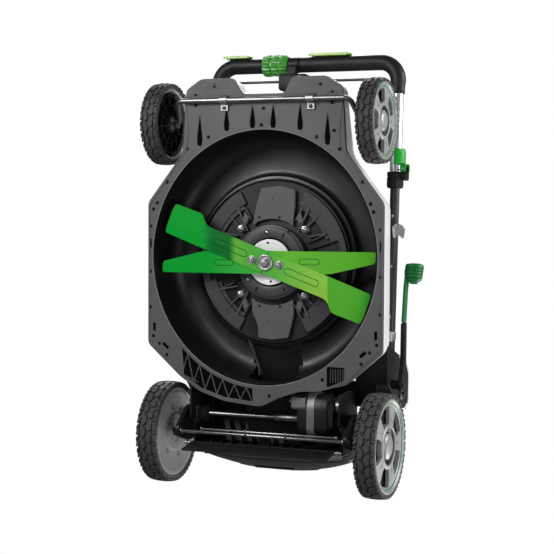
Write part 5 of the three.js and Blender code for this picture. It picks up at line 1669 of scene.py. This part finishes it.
def makeFairing():
    # smooth cover over the chute between the hood and the rear door
    cover = Shape()
    base = 196.2
    rings = []
    for y, z, half in ((262, 190, 150), (276, 204, 148), (310, 222, 140), (360, 240, 132), (410, 251, 126),
                       (439, 255, 122)):
        ring = [(x * half, y, base + (z - base) * rise) for x, rise in
                ((-1, 0), (-0.97, 0.35), (-0.9, 0.66), (-0.78, 0.88), (-0.6, 0.98), (-0.3, 1), (0, 1),
                 (0.3, 1), (0.6, 0.98), (0.78, 0.88), (0.9, 0.66), (0.97, 0.35), (1, 0))]
        rings.append(ring)
    cover.rings(rings)
    finishPiece(cover.build("chuteFairing", at, 32, 0.8, 2), "deck", "hoodPlastic")
    ribs = Shape()
    for i in range(5):
        y = 300 + i * 26
        half = 96 - i * 4
        top = base + (218 + i * 9 - base) + 2.6
        ribs.block((-half, y, top - 3), (half, y + 9, min(top, 254)))
    finishPiece(ribs.build("fairingRibs", at, 30, 0.8, 2), "deck", "blackPlastic")
    # arch panels that close the space between the deck corners and the rear wheels
    size = wheelSizes["rear"]
    for hand, label in ((1, "Left"), (-1, "Right")):
        inner = [(198, 182.6)] + [(size["y"] + 146.5 * math.cos(math.radians(a)),
                                   size["radius"] + 146.5 * math.sin(math.radians(a)))
                                  for a in [154.9 - i * 4.8 for i in range(9)]]
        outer = [(y - 1.2 if i else y, z + 3) for i, (y, z) in enumerate(inner)]
        low, high = sorted((hand * 188.4, hand * 255.8))
        panel = Shape().prism(inner + outer[::-1], low, high, alongX)
        for i in range(4):
            x = hand * (198 + i * 15)
            panel.prism([(y, z) for y, z in inner[2:]] + [(y - 3, z - 0.2) for y, z in inner[2:]][::-1],
                        x - 1, x + 1, alongX)
        panel.block((low, 196, 183.4), (high, 224, 186.4))
        shelf = [(186, 224), (255.8, 224), (255.8, 246), (238, 262), (238, 336), (186, 336)]
        panel.prism([(hand * x, y) for x, y in shelf], 186.6, 189.6)
        low, high = sorted((hand * 192, hand * 254))
        for i in range(3):
            panel.block((low, 206 + i * 12, 186.4), (high, 208 + i * 12, 196))
        finishPiece(panel.build("wheelArch" + label, at, 30, 0.5, 1), "deck", "blackPlastic")


makeFairing()
makeCarriage()
makeDriveLine()
makeBellows()
makeGearbox()
makeHousing()
makeFlap()
makeRearDoor()
print("axle, drive bay and rear door done")

# motor hood, lamp and battery bay
hood = dict(half=176, front=-262, back=258, base=182.4)
lid = dict(half=78, front=-132, back=96)


def roundedRect(half, y0, y1, radius, z, steps=6, middle=0.0):
    points = []
    for cx, cy, start in ((half - radius, y1 - radius, 0), (-half + radius, y1 - radius, 90),
                          (-half + radius, y0 + radius, 180), (half - radius, y0 + radius, 270)):
        points += [(x + middle, y, z) for x, y in arc(radius, start, start + 90, steps, cx, cy)]
    return points


def makeHood():
    tiers = [(0, 0, 0, 46), (1.5, 2, 14, 46), (3, 4, 34, 47), (6, 8, 62, 50), (10, 14, 76, 51),
             (18, 27, 96, 53),
             (30, 43, 114, 55), (42, 62, 127, 52), (52, 77, 135, 47), (60, 89, 138.8, 42), (66, 96, 139.6, 38)]
    rings = [roundedRect(hood["half"] - dx, hood["front"] + dy, hood["back"] - dy, r, hood["base"] + dz)
             for dx, dy, dz, r in tiers]
    for inset, z in ((0, 321.8), (-0.6, 320.6), (-0.6, 308.5)):
        rings.append(roundedRect(lid["half"] + 1.6 + inset, lid["front"] - 1.6 - inset,
                                 lid["back"] + 1.6 + inset,
                                 8, z))
    shell = Shape().rings(rings, caps=False)
    finishPiece(shell.build("motorHood", at, 26), "deck", "hoodPlastic", ["motor_hood"])

    trim = Shape()
    # cooling slats on both flanks and the back, and the intake grille at the nose
    for hand in (1, -1):
        for i in range(9):
            y = -120 + i * 26
            verts = []
            for z, out in ((206, 173.8), (240, 171.0)):
                for dy in (0, 13):
                    for depth in (0, 3.4):
                        verts.append((hand * (out - depth + 1.6), y + dy + (z - 206) * 0.5, z))
            trim.add(verts, boxFaces)
    for i in range(7):
        z = 200 + i * 6.4
        trim.block((-118, 252.4 - i * 0.9, z), (118, 257.2 - i * 0.9, z + 2.6))
    for hand in (1, -1):
        for i in range(4):
            z = 205 + i * 7
            trim.block((hand * 104 - 26, -261.4 + i * 0.8, z), (hand * 104 + 26, -256 + i * 0.8, z + 3))
    finishPiece(trim.build("hoodVents", at, 30, 0.5, 1), "deck", "blackPlastic")
    seam = Shape()
    for hand in (1, -1):
        path = []
        for i in range(17):
            rise = 60 + 22 * (i / 16)
            path.append((hand * (hood["half"] - between(tiers, rise, 0, 2) + 0.3), -176 + i * 21,
                         hood["base"] + rise))
        seam.rings(sweep(path, 1.5, 8))
    finishPiece(seam.build("hoodAccents", at, 40), "deck", "greenPlastic")

    lens = Shape()
    lens.prism(roundCorners([(-68.5, 207.5), (68.5, 207.5), (64, 230.5), (-64, 230.5)], 5, 4), -263.8, -258,
               lambda a, b, c: (a, c, b))
    for i in range(9):
        x = -52 + i * 13
        lens.lathe([(0.4, -264.0), (4.6, -263.9), (5, -263.2), (0.4, -262)], 20,
                   lambda q, b, c, x=x: (b + x, q, c + 219))
    finishPiece(lens.build("headlight", at, 30, 0.5, 2), "deck", "lampLens", ["headlight"])
    bezel = Shape()
    outer = roundCorners([(-73, 204), (73, 204), (68, 234), (-68, 234)], 7, 4)
    inner = roundCorners([(-69, 207), (69, 207), (64.5, 231), (-64.5, 231)], 5, 4)
    bezel.rings([[(a, -263.2, b) for a, b in inner], [(a, -264.2, b) for a, b in outer],
                  [(a, -256, b) for a, b in outer], [(a, -256, b) for a, b in inner]], closed=True)
    finishPiece(bezel.build("lampFrame", at, 30, 0.5, 1), "deck", "blackPlastic")


def makeBattery():
    tray = Shape()
    outer = [roundedRect(49, -101, 69, 5, 199.2), roundedRect(49, -101, 69, 5, 278)]
    inner = [roundedRect(46, -98, 66, 3, 278), roundedRect(46, -98, 66, 3, 202)]
    tray.rings(outer + inner)
    for y in (-80, -40, 0, 40):
        for hand in (1, -1):
            tray.block((hand * 47.5 - 1.3, y, 210), (hand * 47.5 + 1.3, y + 6, 276))
    finishPiece(tray.build("batteryTray", at, 30, 0.5, 1), "deck", "blackPlastic", ["battery_tray"])
    pack = Shape()
    levels = [(2, 204.2), (0, 206), (0, 262), (1.6, 264), (1.6, 268), (0, 270), (0, 292), (2.5, 296.5),
              (7, 298)]
    pack.rings([roundedRect(44 - d, -96 + d, 64 - d, 8, z) for d, z in levels])
    for i in range(5):
        pack.block((-38 + i * 17, -95.8, 214), (-30 + i * 17, -94.2, 256))
        pack.block((-38 + i * 17, 62.2, 214), (-30 + i * 17, 63.8, 256))
    finishPiece(pack.build("batteryPack", at, 32, 0.6, 2), "deck", "charcoal", ["battery_pack"])
    grip = Shape()
    for x in (0, -22, 22):
        grip.rings(sweep(bent([(x, -46, 296), (x, -46, 306), (x, 14, 306), (x, 14, 296)], 7, 6), 3.6, 16))
    for y in (-46, 14):
        grip.rings(sweep([(-25, y, 305.8), (25, y, 305.8)], 4, 12))
    grip.block((-30, 34, 297.6), (30, 44, 299.6))
    finishPiece(grip.build("batteryHandle", at, 40), "deck", "greenPlastic")

    cover = Shape()
    levels = [(3.2, 317.2), (0.4, 317.6), (0.2, 320.4), (1.6, 321.6), (4, 322.0), (30, 322.0)]
    cover.rings([roundedRect(lid["half"] - d, lid["front"] + d, lid["back"] - d, max(8 - d * 0.2, 3), z)
                 for d, z in levels])
    cover.block((-60, 80, 311), (60, 83, 317.5))
    cover.block((-60, -118, 312), (60, -116, 317.5))
    finishPiece(cover.build("batteryDoor", at, 30), "battery_cover", "hoodPlastic", ["battery_door"])
    pull = Shape()
    pull.prism(roundCorners([(-34, 74), (34, 74), (26, 92), (-26, 92)], 6, 4), 321.2, 321.95)
    for i in range(4):
        pull.block((-24, 76.5 + i * 4, 321.4), (24, 78 + i * 4, 322))
    finishPiece(pull.build("doorPull", at, 30, 0.3, 1), "battery_cover", "greenPlastic")


makeHood()
makeBattery()
print("hood and battery bay done")

# handle brackets, height lever and quadrant
pivot = dict(y=312, z=288)
lever = dict(y=285, z=222, x=281, thick=10)


def makeBrackets():
    size = wheelSizes["rear"]
    for side, label in ((1, "Left"), (-1, "Right")):
        low = 256 if side > 0 else -266
        arch = [(size["y"] + 146 * math.cos(math.radians(155.1 - i * 4.875)),
                 size["radius"] + 146 * math.sin(math.radians(155.1 - i * 4.875))) for i in range(9)]
        outline = [(182, 182.4)] + arch + [(357, 322), (340, 350), (272, 352), (240, 330), (200, 214)]
        outline = roundCorners(outline, 5, 3)
        plateShape = Shape()
        plateShape.prism(outline, low + 0.3, low + 9.7, alongX)
        foot = (200, 258) if side > 0 else (-258, -200)
        plateShape.block((foot[0], 182, 182.4), (foot[1], 210, 189.8))
        x0 = low - 0.9 if side > 0 else low + 9
        for start, end in (((222, 250), (262, 336)), ((240, 232), (300, 262))):
            sideRib(plateShape, start, end, 1.6, x0, x0 + 2)
        if side > 0:
            plateShape.lathe([(6, 0), (10.4, 0), (11, 0.6), (11, 14), (6, 14.4)], 32, turned(265.8, lever["y"],
                                                                                            lever["z"]))
        finishPiece(plateShape.build("handleBracket" + label, at, 32, 0.8, 2), "deck", "blackPlastic",
                    ["handle_bracket_" + label.lower()])
        edge = Shape()
        face = low + 9.9 if side > 0 else low + 0.1
        trimLine = [(352, 268), (355.5, 320), (339, 348), (273, 350.2), (243, 329.6), (222, 272)]
        inner = [(278 + (y - 278) * 0.94, 262 + (z - 262) * 0.94) for y, z in trimLine]
        edge.prism(trimLine + inner[::-1], min(face, face - side * 3), max(face, face - side * 3), alongX)
        edge.prism([(339, 351.2), (273, 351.9), (243, 331.8), (241.8, 330.4), (272.8, 350.2), (339, 349.6)],
                   low + 0.4, low + 9.6, alongX)
        finishPiece(edge.build("bracketEdge" + label, at, 30), "deck", "silverShell")
        bolt = Shape()
        start = 219 if side > 0 else -276
        bolt.lathe([(0.4, 0), (4.6, 0), (5, 0.6), (5, 56.4), (4.6, 57), (0.4, 57)], 24,
                   turned(start, pivot["y"], pivot["z"]))
        head = 265 if side > 0 else -270
        bolt.lathe([(3, 0), (15.4, 0), (16, 0.8), (16, 3), (13, 4.6), (9, 4.9), (3, 4.9)], 36,
                   turned(head + 0.1, pivot["y"], pivot["z"]))
        nut = 216 if side > 0 else -221
        bolt.prism([(pivot["y"] + 9 * math.cos(math.radians(a)), pivot["z"] + 9 * math.sin(math.radians(a)))
                    for a in range(0, 360, 60)], nut, nut + 5, alongX)
        for y, z in ((292, 338), (338, 334), (214, 205)):
            bolt.lathe([(0.4, 0), (3.6, 0.2), (4.4, 1.2), (4.4, 2), (0.4, 2)], 20,
                       turned(face - 1, y, z))
        if side > 0:
            bolt.lathe([(0.4, 0), (5, 0), (5, 25), (7.4, 25), (7.8, 25.6), (7.8, 27.6), (0.4, 28)], 24,
                       turned(266.2, lever["y"], lever["z"]))
        finishPiece(bolt.build("bracketBolts" + label, at, 35, 0.3, 1), "deck", "tubeBlack")


def makeLever():
    y, z, x0 = lever["y"], lever["z"], lever["x"]
    x1 = x0 + lever["thick"]
    arm = Shape()
    arm.lathe([(5.5, 0), (14, 0), (15, 1), (15, 9), (14, 10), (5.5, 10)], 40, turned(x0, y, z))
    arm.prism(roundCorners([(y - 6, z - 12), (y - 6, z + 12), (232, 246), (141, 248), (141, 230), (232, 227)],
                           5, 3), x0 + 0.2, x1 - 0.2, alongX)
    for i in range(6):
        arm.prism([(216 - i * 11, 231), (219 - i * 11, 231), (222 - i * 11, 244), (219 - i * 11, 244)],
                  x1 - 0.6, x1 - 0.02, alongX)
    finishPiece(arm.build("heightLever", at, 35, 1.2, 3), "lever", "blackPlastic", ["height_lever"])
    grip = Shape()
    stem = [((140, 239), 10), ((118, 242.5), 9.6), ((84, 248), 9.2), ((58, 252.5), 9.6), ((36, 260), 10),
            ((16, 267), 9)]
    d = Vector((-1, 0.2)).normalized()
    o = Vector((-d.y, d.x))
    rings = []
    for (cy, cz), half in stem:
        ring = []
        for k in range(20):
            a = 2 * math.pi * k / 20
            w, h = (abs(math.cos(a)) ** 0.7) * math.copysign(1, math.cos(a)), math.copysign(
                abs(math.sin(a)) ** 0.7, math.sin(a))
            ring.append((x0 + 5 + 4.9 * w, cy + o.x * half * h, cz + o.y * half * h))
        rings.append(ring)
    grip.rings(rings)
    grip.lathe([(0.4, 0), (11.4, 0), (12, 1), (12, 15), (0.4, 16)], 32, turned(x0 + 0.1, 24, 266))
    finishPiece(grip.build("leverGrip", at, 50, 0.8, 2), "lever", "leverGreen", ["lever_knob"])
    # broad cap with grooves round its skirt, tipped a little down and forward
    knob = Shape()
    profile = [(0.6, -1.0), (9, -0.7), (16, 0.4), (19.5, 2.0), (21.4, 4.4)]
    for i in range(4):
        y = 6.6 + i * 7.2
        r = 21.9 - i * 0.5
        profile += [(r, y), (r, y + 4.8), (r - 2.6, y + 5.2), (r - 2.6, y + 6.8)]
    profile += [(20, 36.4), (16, 40.5), (10, 43.6), (9.2, 47), (0.6, 48)]
    tip = math.radians(12)

    def capPlace(a, b, c):
        y, z = a * math.cos(tip) + c * math.sin(tip), -a * math.sin(tip) + c * math.cos(tip)
        return (303 + b, 3.4 + y, 266 + z)

    knob.lathe(profile, 56, capPlace, closed=False)
    finishPiece(knob.build("leverKnob", at, 28), "lever", "leverGreen")

    # toothed height quadrant
    sector = Shape()
    inner, outer = [], []
    for i in range(31):
        a = math.radians(156 + i * 48 / 30)
        tooth = 118 - (2.6 if i % 4 in (2, 3) else 0)
        outer.append((y + tooth * math.cos(a), z + tooth * math.sin(a)))
        inner.append((y + 92 * math.cos(a), z + 92 * math.sin(a)))
    keep = [(p, q) for p, q in zip(inner, outer) if p[1] > 184 and q[1] > 184]
    ring = [p for p, _ in keep] + [q for _, q in keep][::-1]
    sector.prism(ring, 272.6, 277.8, alongX)
    sector.block((256, 158, 182.4), (276, 180, 187.6))
    sector.block((273, 160, 186), (277.4, 178, 206))
    finishPiece(sector.build("heightQuadrant", at, 30, 0.4, 1), "deck", "clipSteel", ["height_quadrant"])


makeBrackets()
makeLever()
print("brackets and height lever done")

# folding handle, drawn along its own axis: y from the pivot, z square to the tubes
handleLength = math.hypot(788, 54)
handleTilt = math.atan2(54, 788)
bow = -handleLength
tube = dict(x=235, outer=14, inner=11.4, grip=19, bend=46, collar=-526, collarLength=39)


def onHandle(x, y, z):
    c, s = math.cos(handleTilt), math.sin(handleTilt)
    return at(x, pivot["y"] + y * c + z * s, pivot["z"] - y * s + z * c)


def makeTubes():
    for side, label in ((1, "Left"), (-1, "Right")):
        x = side * tube["x"]
        leg = Shape()
        leg.rings(sweep([(x, bow + 54, 0), (x, bow + 56, 0), (x, -30, 0), (x, -10, 0)],
                        lambda t: tube["inner"] - 0.05, 28))
        leg.lathe([(5.5, -12), (17.4, -12), (19, -10.4), (19, 10.4), (17.4, 12), (5.5, 12)], 40,
                  turned(x, 0, 0))
        leg.rings(sweep([(x, -46, 0), (x, -18, 0)], lambda t: 12.6 + 3 * t, 28))
        finishPiece(leg.build("lowerTube" + label, onHandle, 40), "handle_lower", "tubeBlack",
                    ["lower_tube_" + label.lower()])
        pins = Shape()
        for y in (-180, -300, -420):
            pins.lathe([(0.3, 0), (2.6, 0.1), (3, 0.6), (0.3, 0.9)], 16,
                       lambda a, b, c, y=y: (x + b, y + c, -tube["inner"] - 0.2 + (0.6 - a)))
        finishPiece(pins.build("tubeStops" + label, onHandle, 40), "handle_lower", "steel")
    start = tube["collar"] + tube["collarLength"] - 5
    corners = [(-tube["x"], start, 0), (-tube["x"], bow, 0), (tube["x"], bow, 0), (tube["x"], start, 0)]
    upper = Shape().rings(sweep(bent(corners, tube["bend"], 14), tube["outer"], 32), caps=False)
    upper.rings(sweep(bent(corners, tube["bend"], 14), tube["outer"] - 1.8, 24), caps=False)
    finishPiece(upper.build("upperTube", onHandle, 40), "handle_upper", "silverTube", ["upper_tube"])


def makeGrips():
    for label, ends in (("Left", (-16, tube["x"])), ("Right", (-114, -tube["x"]))):
        path = bent([(ends[0], bow, 0), (ends[1], bow, 0), (ends[1], bow + tube["bend"] + 14, 0)],
                    tube["bend"], 20)
        first, second = Vector(path[0]), Vector(path[1])
        dense = [tuple(first.lerp(second, k / 30)) for k in range(30)] + path[1:]
        grip = Shape()

        def radius(t):
            return tube["grip"] - 0.15 - (1.6 if t < 0.012 or t > 0.988 else 0)

        grip.rings(sweep(dense, radius, 36))
        step = 1 if ends[1] > ends[0] else -1
        for i in range(5):
            x = ends[0] + step * (12 + i * 5)
            grip.lathe([(18.6, -1.1), (19.0, -0.8), (19.0, 0.8), (18.6, 1.1)], 40, turned(x, bow, 0))
        finishPiece(grip.build("grip" + label, onHandle, 40), "handle_upper", "gripFoam",
                    ["grip_" + label.lower()])
        cuff = Shape()
        cuff.lathe([(14.2, 0), (18.8, 0), (19, 0.5), (19, 3.5), (18.8, 4), (14.2, 4)], 40,
                   turned(ends[0] - (0.2 if step > 0 else 3.8), bow, 0))
        finishPiece(cuff.build("gripCuff" + label, onHandle, 40), "handle_upper", "blackPlastic")


def makeDial():
    dial = Shape()
    sides = 96

    def ring(x, r, depth):
        points = []
        for i in range(sides):
            a = 2 * math.pi * i / sides
            wave = depth * (0.5 + 0.5 * math.cos(a * 16)) ** 3
            points.append((x, bow + (r - wave) * math.cos(a), (r - wave) * math.sin(a)))
        return points

    rings = [ring(-112, 22.6, 0), ring(-111, 25.6, 0.6), ring(-108, 26.8, 2.6), ring(-96, 26.9, 3.0),
             ring(-92, 26.4, 2.4), ring(-91, 23.8, 0.6), ring(-87, 23.6, 0.6), ring(-86, 26.2, 2.2),
             ring(-72, 26.6, 2.8), ring(-70, 24.4, 0.6), ring(-67, 24.2, 0.6), ring(-66, 26.2, 2.2),
             ring(-52, 25.4, 2.4), ring(-48, 23.0, 0.8), ring(-46, 20.6, 0), ring(-46, 15, 0),
             ring(-112, 15, 0)]
    dial.rings(rings, closed=True)
    finishPiece(dial.build("speedDial", onHandle, 30), "dial", "dialGreen", ["speed_dial"])


def makeControls():
    housing = Shape()
    levels = [(4, -45.8), (0.6, -43.5), (0, -40), (0, -14), (1.2, -11), (5, -9.2)]
    housing.rings([roundedRect(36.5 - d, bow + 28 + d, bow + 68 - d, 7, z, 5, -20.5) for d, z in levels])
    housing.lathe([(14.6, -44), (18.6, -44), (19.5, -43), (19.5, -19), (18.6, -18), (14.6, -18)], 40,
                  turned(0, bow, 0))
    housing.prism(roundCorners([(bow + 4, -24), (bow + 34, -30), (bow + 40, -10), (bow + 14, -8),
                                (bow + 4, -12)], 4),
              -42, -20, alongX)
    for i in range(4):
        housing.block((-54 + i * 5, bow + 34, -46), (-51.6 + i * 5, bow + 62, -44.4))
    for x in (-40, -22):
        housing.lathe([(2.4, 0), (4.4, 0), (4.8, 0.8), (4.8, 3.6), (2.4, 4)], 16,
                  lambda a, b, c, x=x: (x + b, bow + 30 + c, -30 - a))
    finishPiece(housing.build("controlHousing", onHandle, 35, 0.6, 2), "handle_upper", "blackPlastic",
                ["control_housing"])
    collar = Shape().lathe([(14.2, -46.0), (15.8, -46.0), (16.2, -45.4), (16.2, -44), (14.2, -44)], 40,
                           lambda a, b, c: (-2 + b, bow + 48 + c, a))
    finishPiece(collar.build("buttonCollar", onHandle, 35, 0.3, 1), "handle_upper", "hoodPlastic")
    cap = Shape().lathe([(0.5, -51.2), (6, -51.5), (11.4, -52), (13.2, -51.2), (13.9, -49.4), (13.9, -44.5),
                         (6, -44), (6, -37), (0.5, -36.4)], 40, lambda a, b, c: (-2 + b, bow + 48 + c, a),
                        closed=False)
    finishPiece(cap.build("startButton", onHandle, 35, 0.3, 1), "button", "greenPlastic", ["start_button"])


def makeBail():
    rest = math.radians(145)
    py, pz = bow + 68, -6
    by, bz = py + 37 * math.cos(rest), pz + 37 * math.sin(rest)
    end = tube["x"] - tube["outer"] - 1
    corners = [(-end, py, pz), (15 - end, py, pz), (28 - end, by, bz), (end - 28, by, bz), (end - 15, py, pz),
               (end, py, pz)]
    wire = Shape().rings(sweep(bent(corners, 8, 6), 3.5, 16))
    finishPiece(wire.build("bailBar", onHandle, 40), "bail_bar", "bailPaint", ["bail"])
    cuffs = Shape()
    for hand in (1, -1):
        x = hand * (end - 5)
        cuffs.lathe([(3.4, -3), (5.6, -3), (6, -2.4), (6, 2.4), (5.6, 3), (3.4, 3)], 20, turned(x, py, pz))
    finishPiece(cuffs.build("bailCuffs", onHandle, 40), "bail_bar", "blackPlastic")
    lugs = Shape()
    for hand in (1, -1):
        x = hand * tube["x"]
        lugs.lathe([(14.1, -9), (16.6, -9), (17, -8), (17, 8), (16.6, 9), (14.1, 9)], 32,
                   lambda a, b, c, x=x: (x + b, py + a, c))
        lugs.lathe([(0.5, 0), (6.4, 0), (6.6, 0.5), (6.6, 4), (0.5, 4)], 20,
                   turned(hand * (tube["x"] - 16) - 2, py, pz))
    finishPiece(lugs.build("bailLugs", onHandle, 40, 0.3, 1), "handle_upper", "blackPlastic")


def makePaddles():
    for label, low, high in (("Left", 8, 112), ("Right", -220, -150)):
        y = bow - tube["grip"] - 4
        paddle = Shape()
        curve = []
        steps = 14
        for i in range(steps + 1):
            u = -1 + 2 * i / steps
            curve.append((y - 0.1 + 1.4 * u * u, 14 * u))
        outline = curve + [(face - 2.4, z) for face, z in curve[::-1]]
        paddle.prism([(min(face, y), z) for face, z in outline], low, high, alongX)
        for z in (-14, 12.4):
            paddle.prism([(y - 2.4, z), (y + 3.6, z), (y + 3.6, z + 1.6), (y - 2.4, z + 1.6)], low + 4,
                         high - 4,
                         alongX)
        for x in (low, high - 2.4):
            paddle.prism(roundCorners([(y - 2, -13.6), (y - 2, 13.6), (y + 3.4, 13.6), (y - 0.6, 0),
                                       (y + 3.4, -13.6)], 1),
                         x, x + 2.4, alongX)
        for i in range(int((high - low) / 9) - 1):
            x = low + 7 + i * 9
            paddle.block((x, y - 3.9, -10), (x + 3, y - 2.2, 10))
        finishPiece(paddle.build("drivePaddle" + label, onHandle, 35, 0.5, 2), "paddle_" + label.lower(),
                    "limePlastic", ["drive_paddle_" + label.lower()])


def makeClamps():
    pinX, pinY = tube["outer"] + 9, tube["collar"] - 6
    for side, label in ((1, "Left"), (-1, "Right")):
        x = side * tube["x"]
        c0, c1 = tube["collar"], tube["collar"] + tube["collarLength"]
        collar = Shape()
        profile = [(14.6, c0), (18.6, c0), (19.6, c0 + 1.2), (20, c0 + 4), (20, c0 + 9), (19, c0 + 10),
                   (19, c0 + 13), (20, c0 + 14), (20, c1 - 6), (18.6, c1 - 1), (16, c1), (11.8, c1),
                   (11.8, c1 - 3),
                   (14.6, c1 - 4)]
        collar.lathe(profile, 40, lambda a, b, c: (x + b, a, c))
        px = x + side * pinX
        for z in (-13.6, 7.6):
            collar.prism(roundCorners([(px - 7, pinY - 6), (px + 7, pinY - 6), (px + 7, c0 + 20),
                                       (px - 7, c0 + 20)],
                                      3, 3), z, z + 6)
        collar.block((px - 6.5, c0 + 2, -8), (px + 6.5, c0 + 19, 8))
        finishPiece(collar.build("clampCollar" + label, onHandle, 35, 0.6, 2), "handle_upper", "blackPlastic",
                    ["clamp_collar_" + label.lower()])
        pin = Shape().lathe([(0.3, -21), (2.2, -21), (2.5, -20.6), (2.5, 20.6), (2.2, 21), (0.3, 21)], 20,
                            lambda a, b, c: (px + b, pinY + c, a))
        finishPiece(pin.build("clampPin" + label, onHandle, 40), "handle_upper", "steel")
        cam = Shape()
        rings = []
        for y, grow in ((c0 - 16.4, -1.4), (c0 - 18, 0), (c0 - 36, 0), (c0 - 50, -0.6), (c0 - 55, -2.4)):
            outer = [(x + side * (24 + grow) * math.cos(a), y, (24 + grow) * math.sin(a))
                     for a in [math.radians(-86 + 172 * i / 16) for i in range(17)]]
            inner = [(x + side * 16.4 * math.cos(a), y, 16.4 * math.sin(a))
                     for a in [math.radians(86 - 172 * i / 16) for i in range(17)]]
            rings.append(outer + inner)
        cam.rings(rings)
        for z in (-19.8, 15.2):
            cam.prism(roundCorners([(px - 6.6, c0 - 20), (px + 6.6, c0 - 20), (px + 6.6, c0 + 0.6),
                                    (px - 6.6, c0 + 0.6)], 4, 3), z, z + 4.6)
        for i in range(4):
            y = c0 - 46 + i * 6
            cam.rings([[(x + side * (r * math.cos(a)), y + dy, r * math.sin(a)) for dy, r in
                        ((0, 23.4), (0.6, 24.6), (2, 24.6), (2.6, 23.4))]
                       for a in [math.radians(-50 + 100 * k / 10) for k in range(11)]])
        finishPiece(cam.build("clampLever" + label, onHandle, 35, 0.6, 2), "clamp_" + label.lower(),
                    "greenPlastic", ["clamp_lever_" + label.lower()])


makeTubes()
makeGrips()
makeDial()
makeControls()
makeBail()
makePaddles()
makeClamps()
print("handle done")
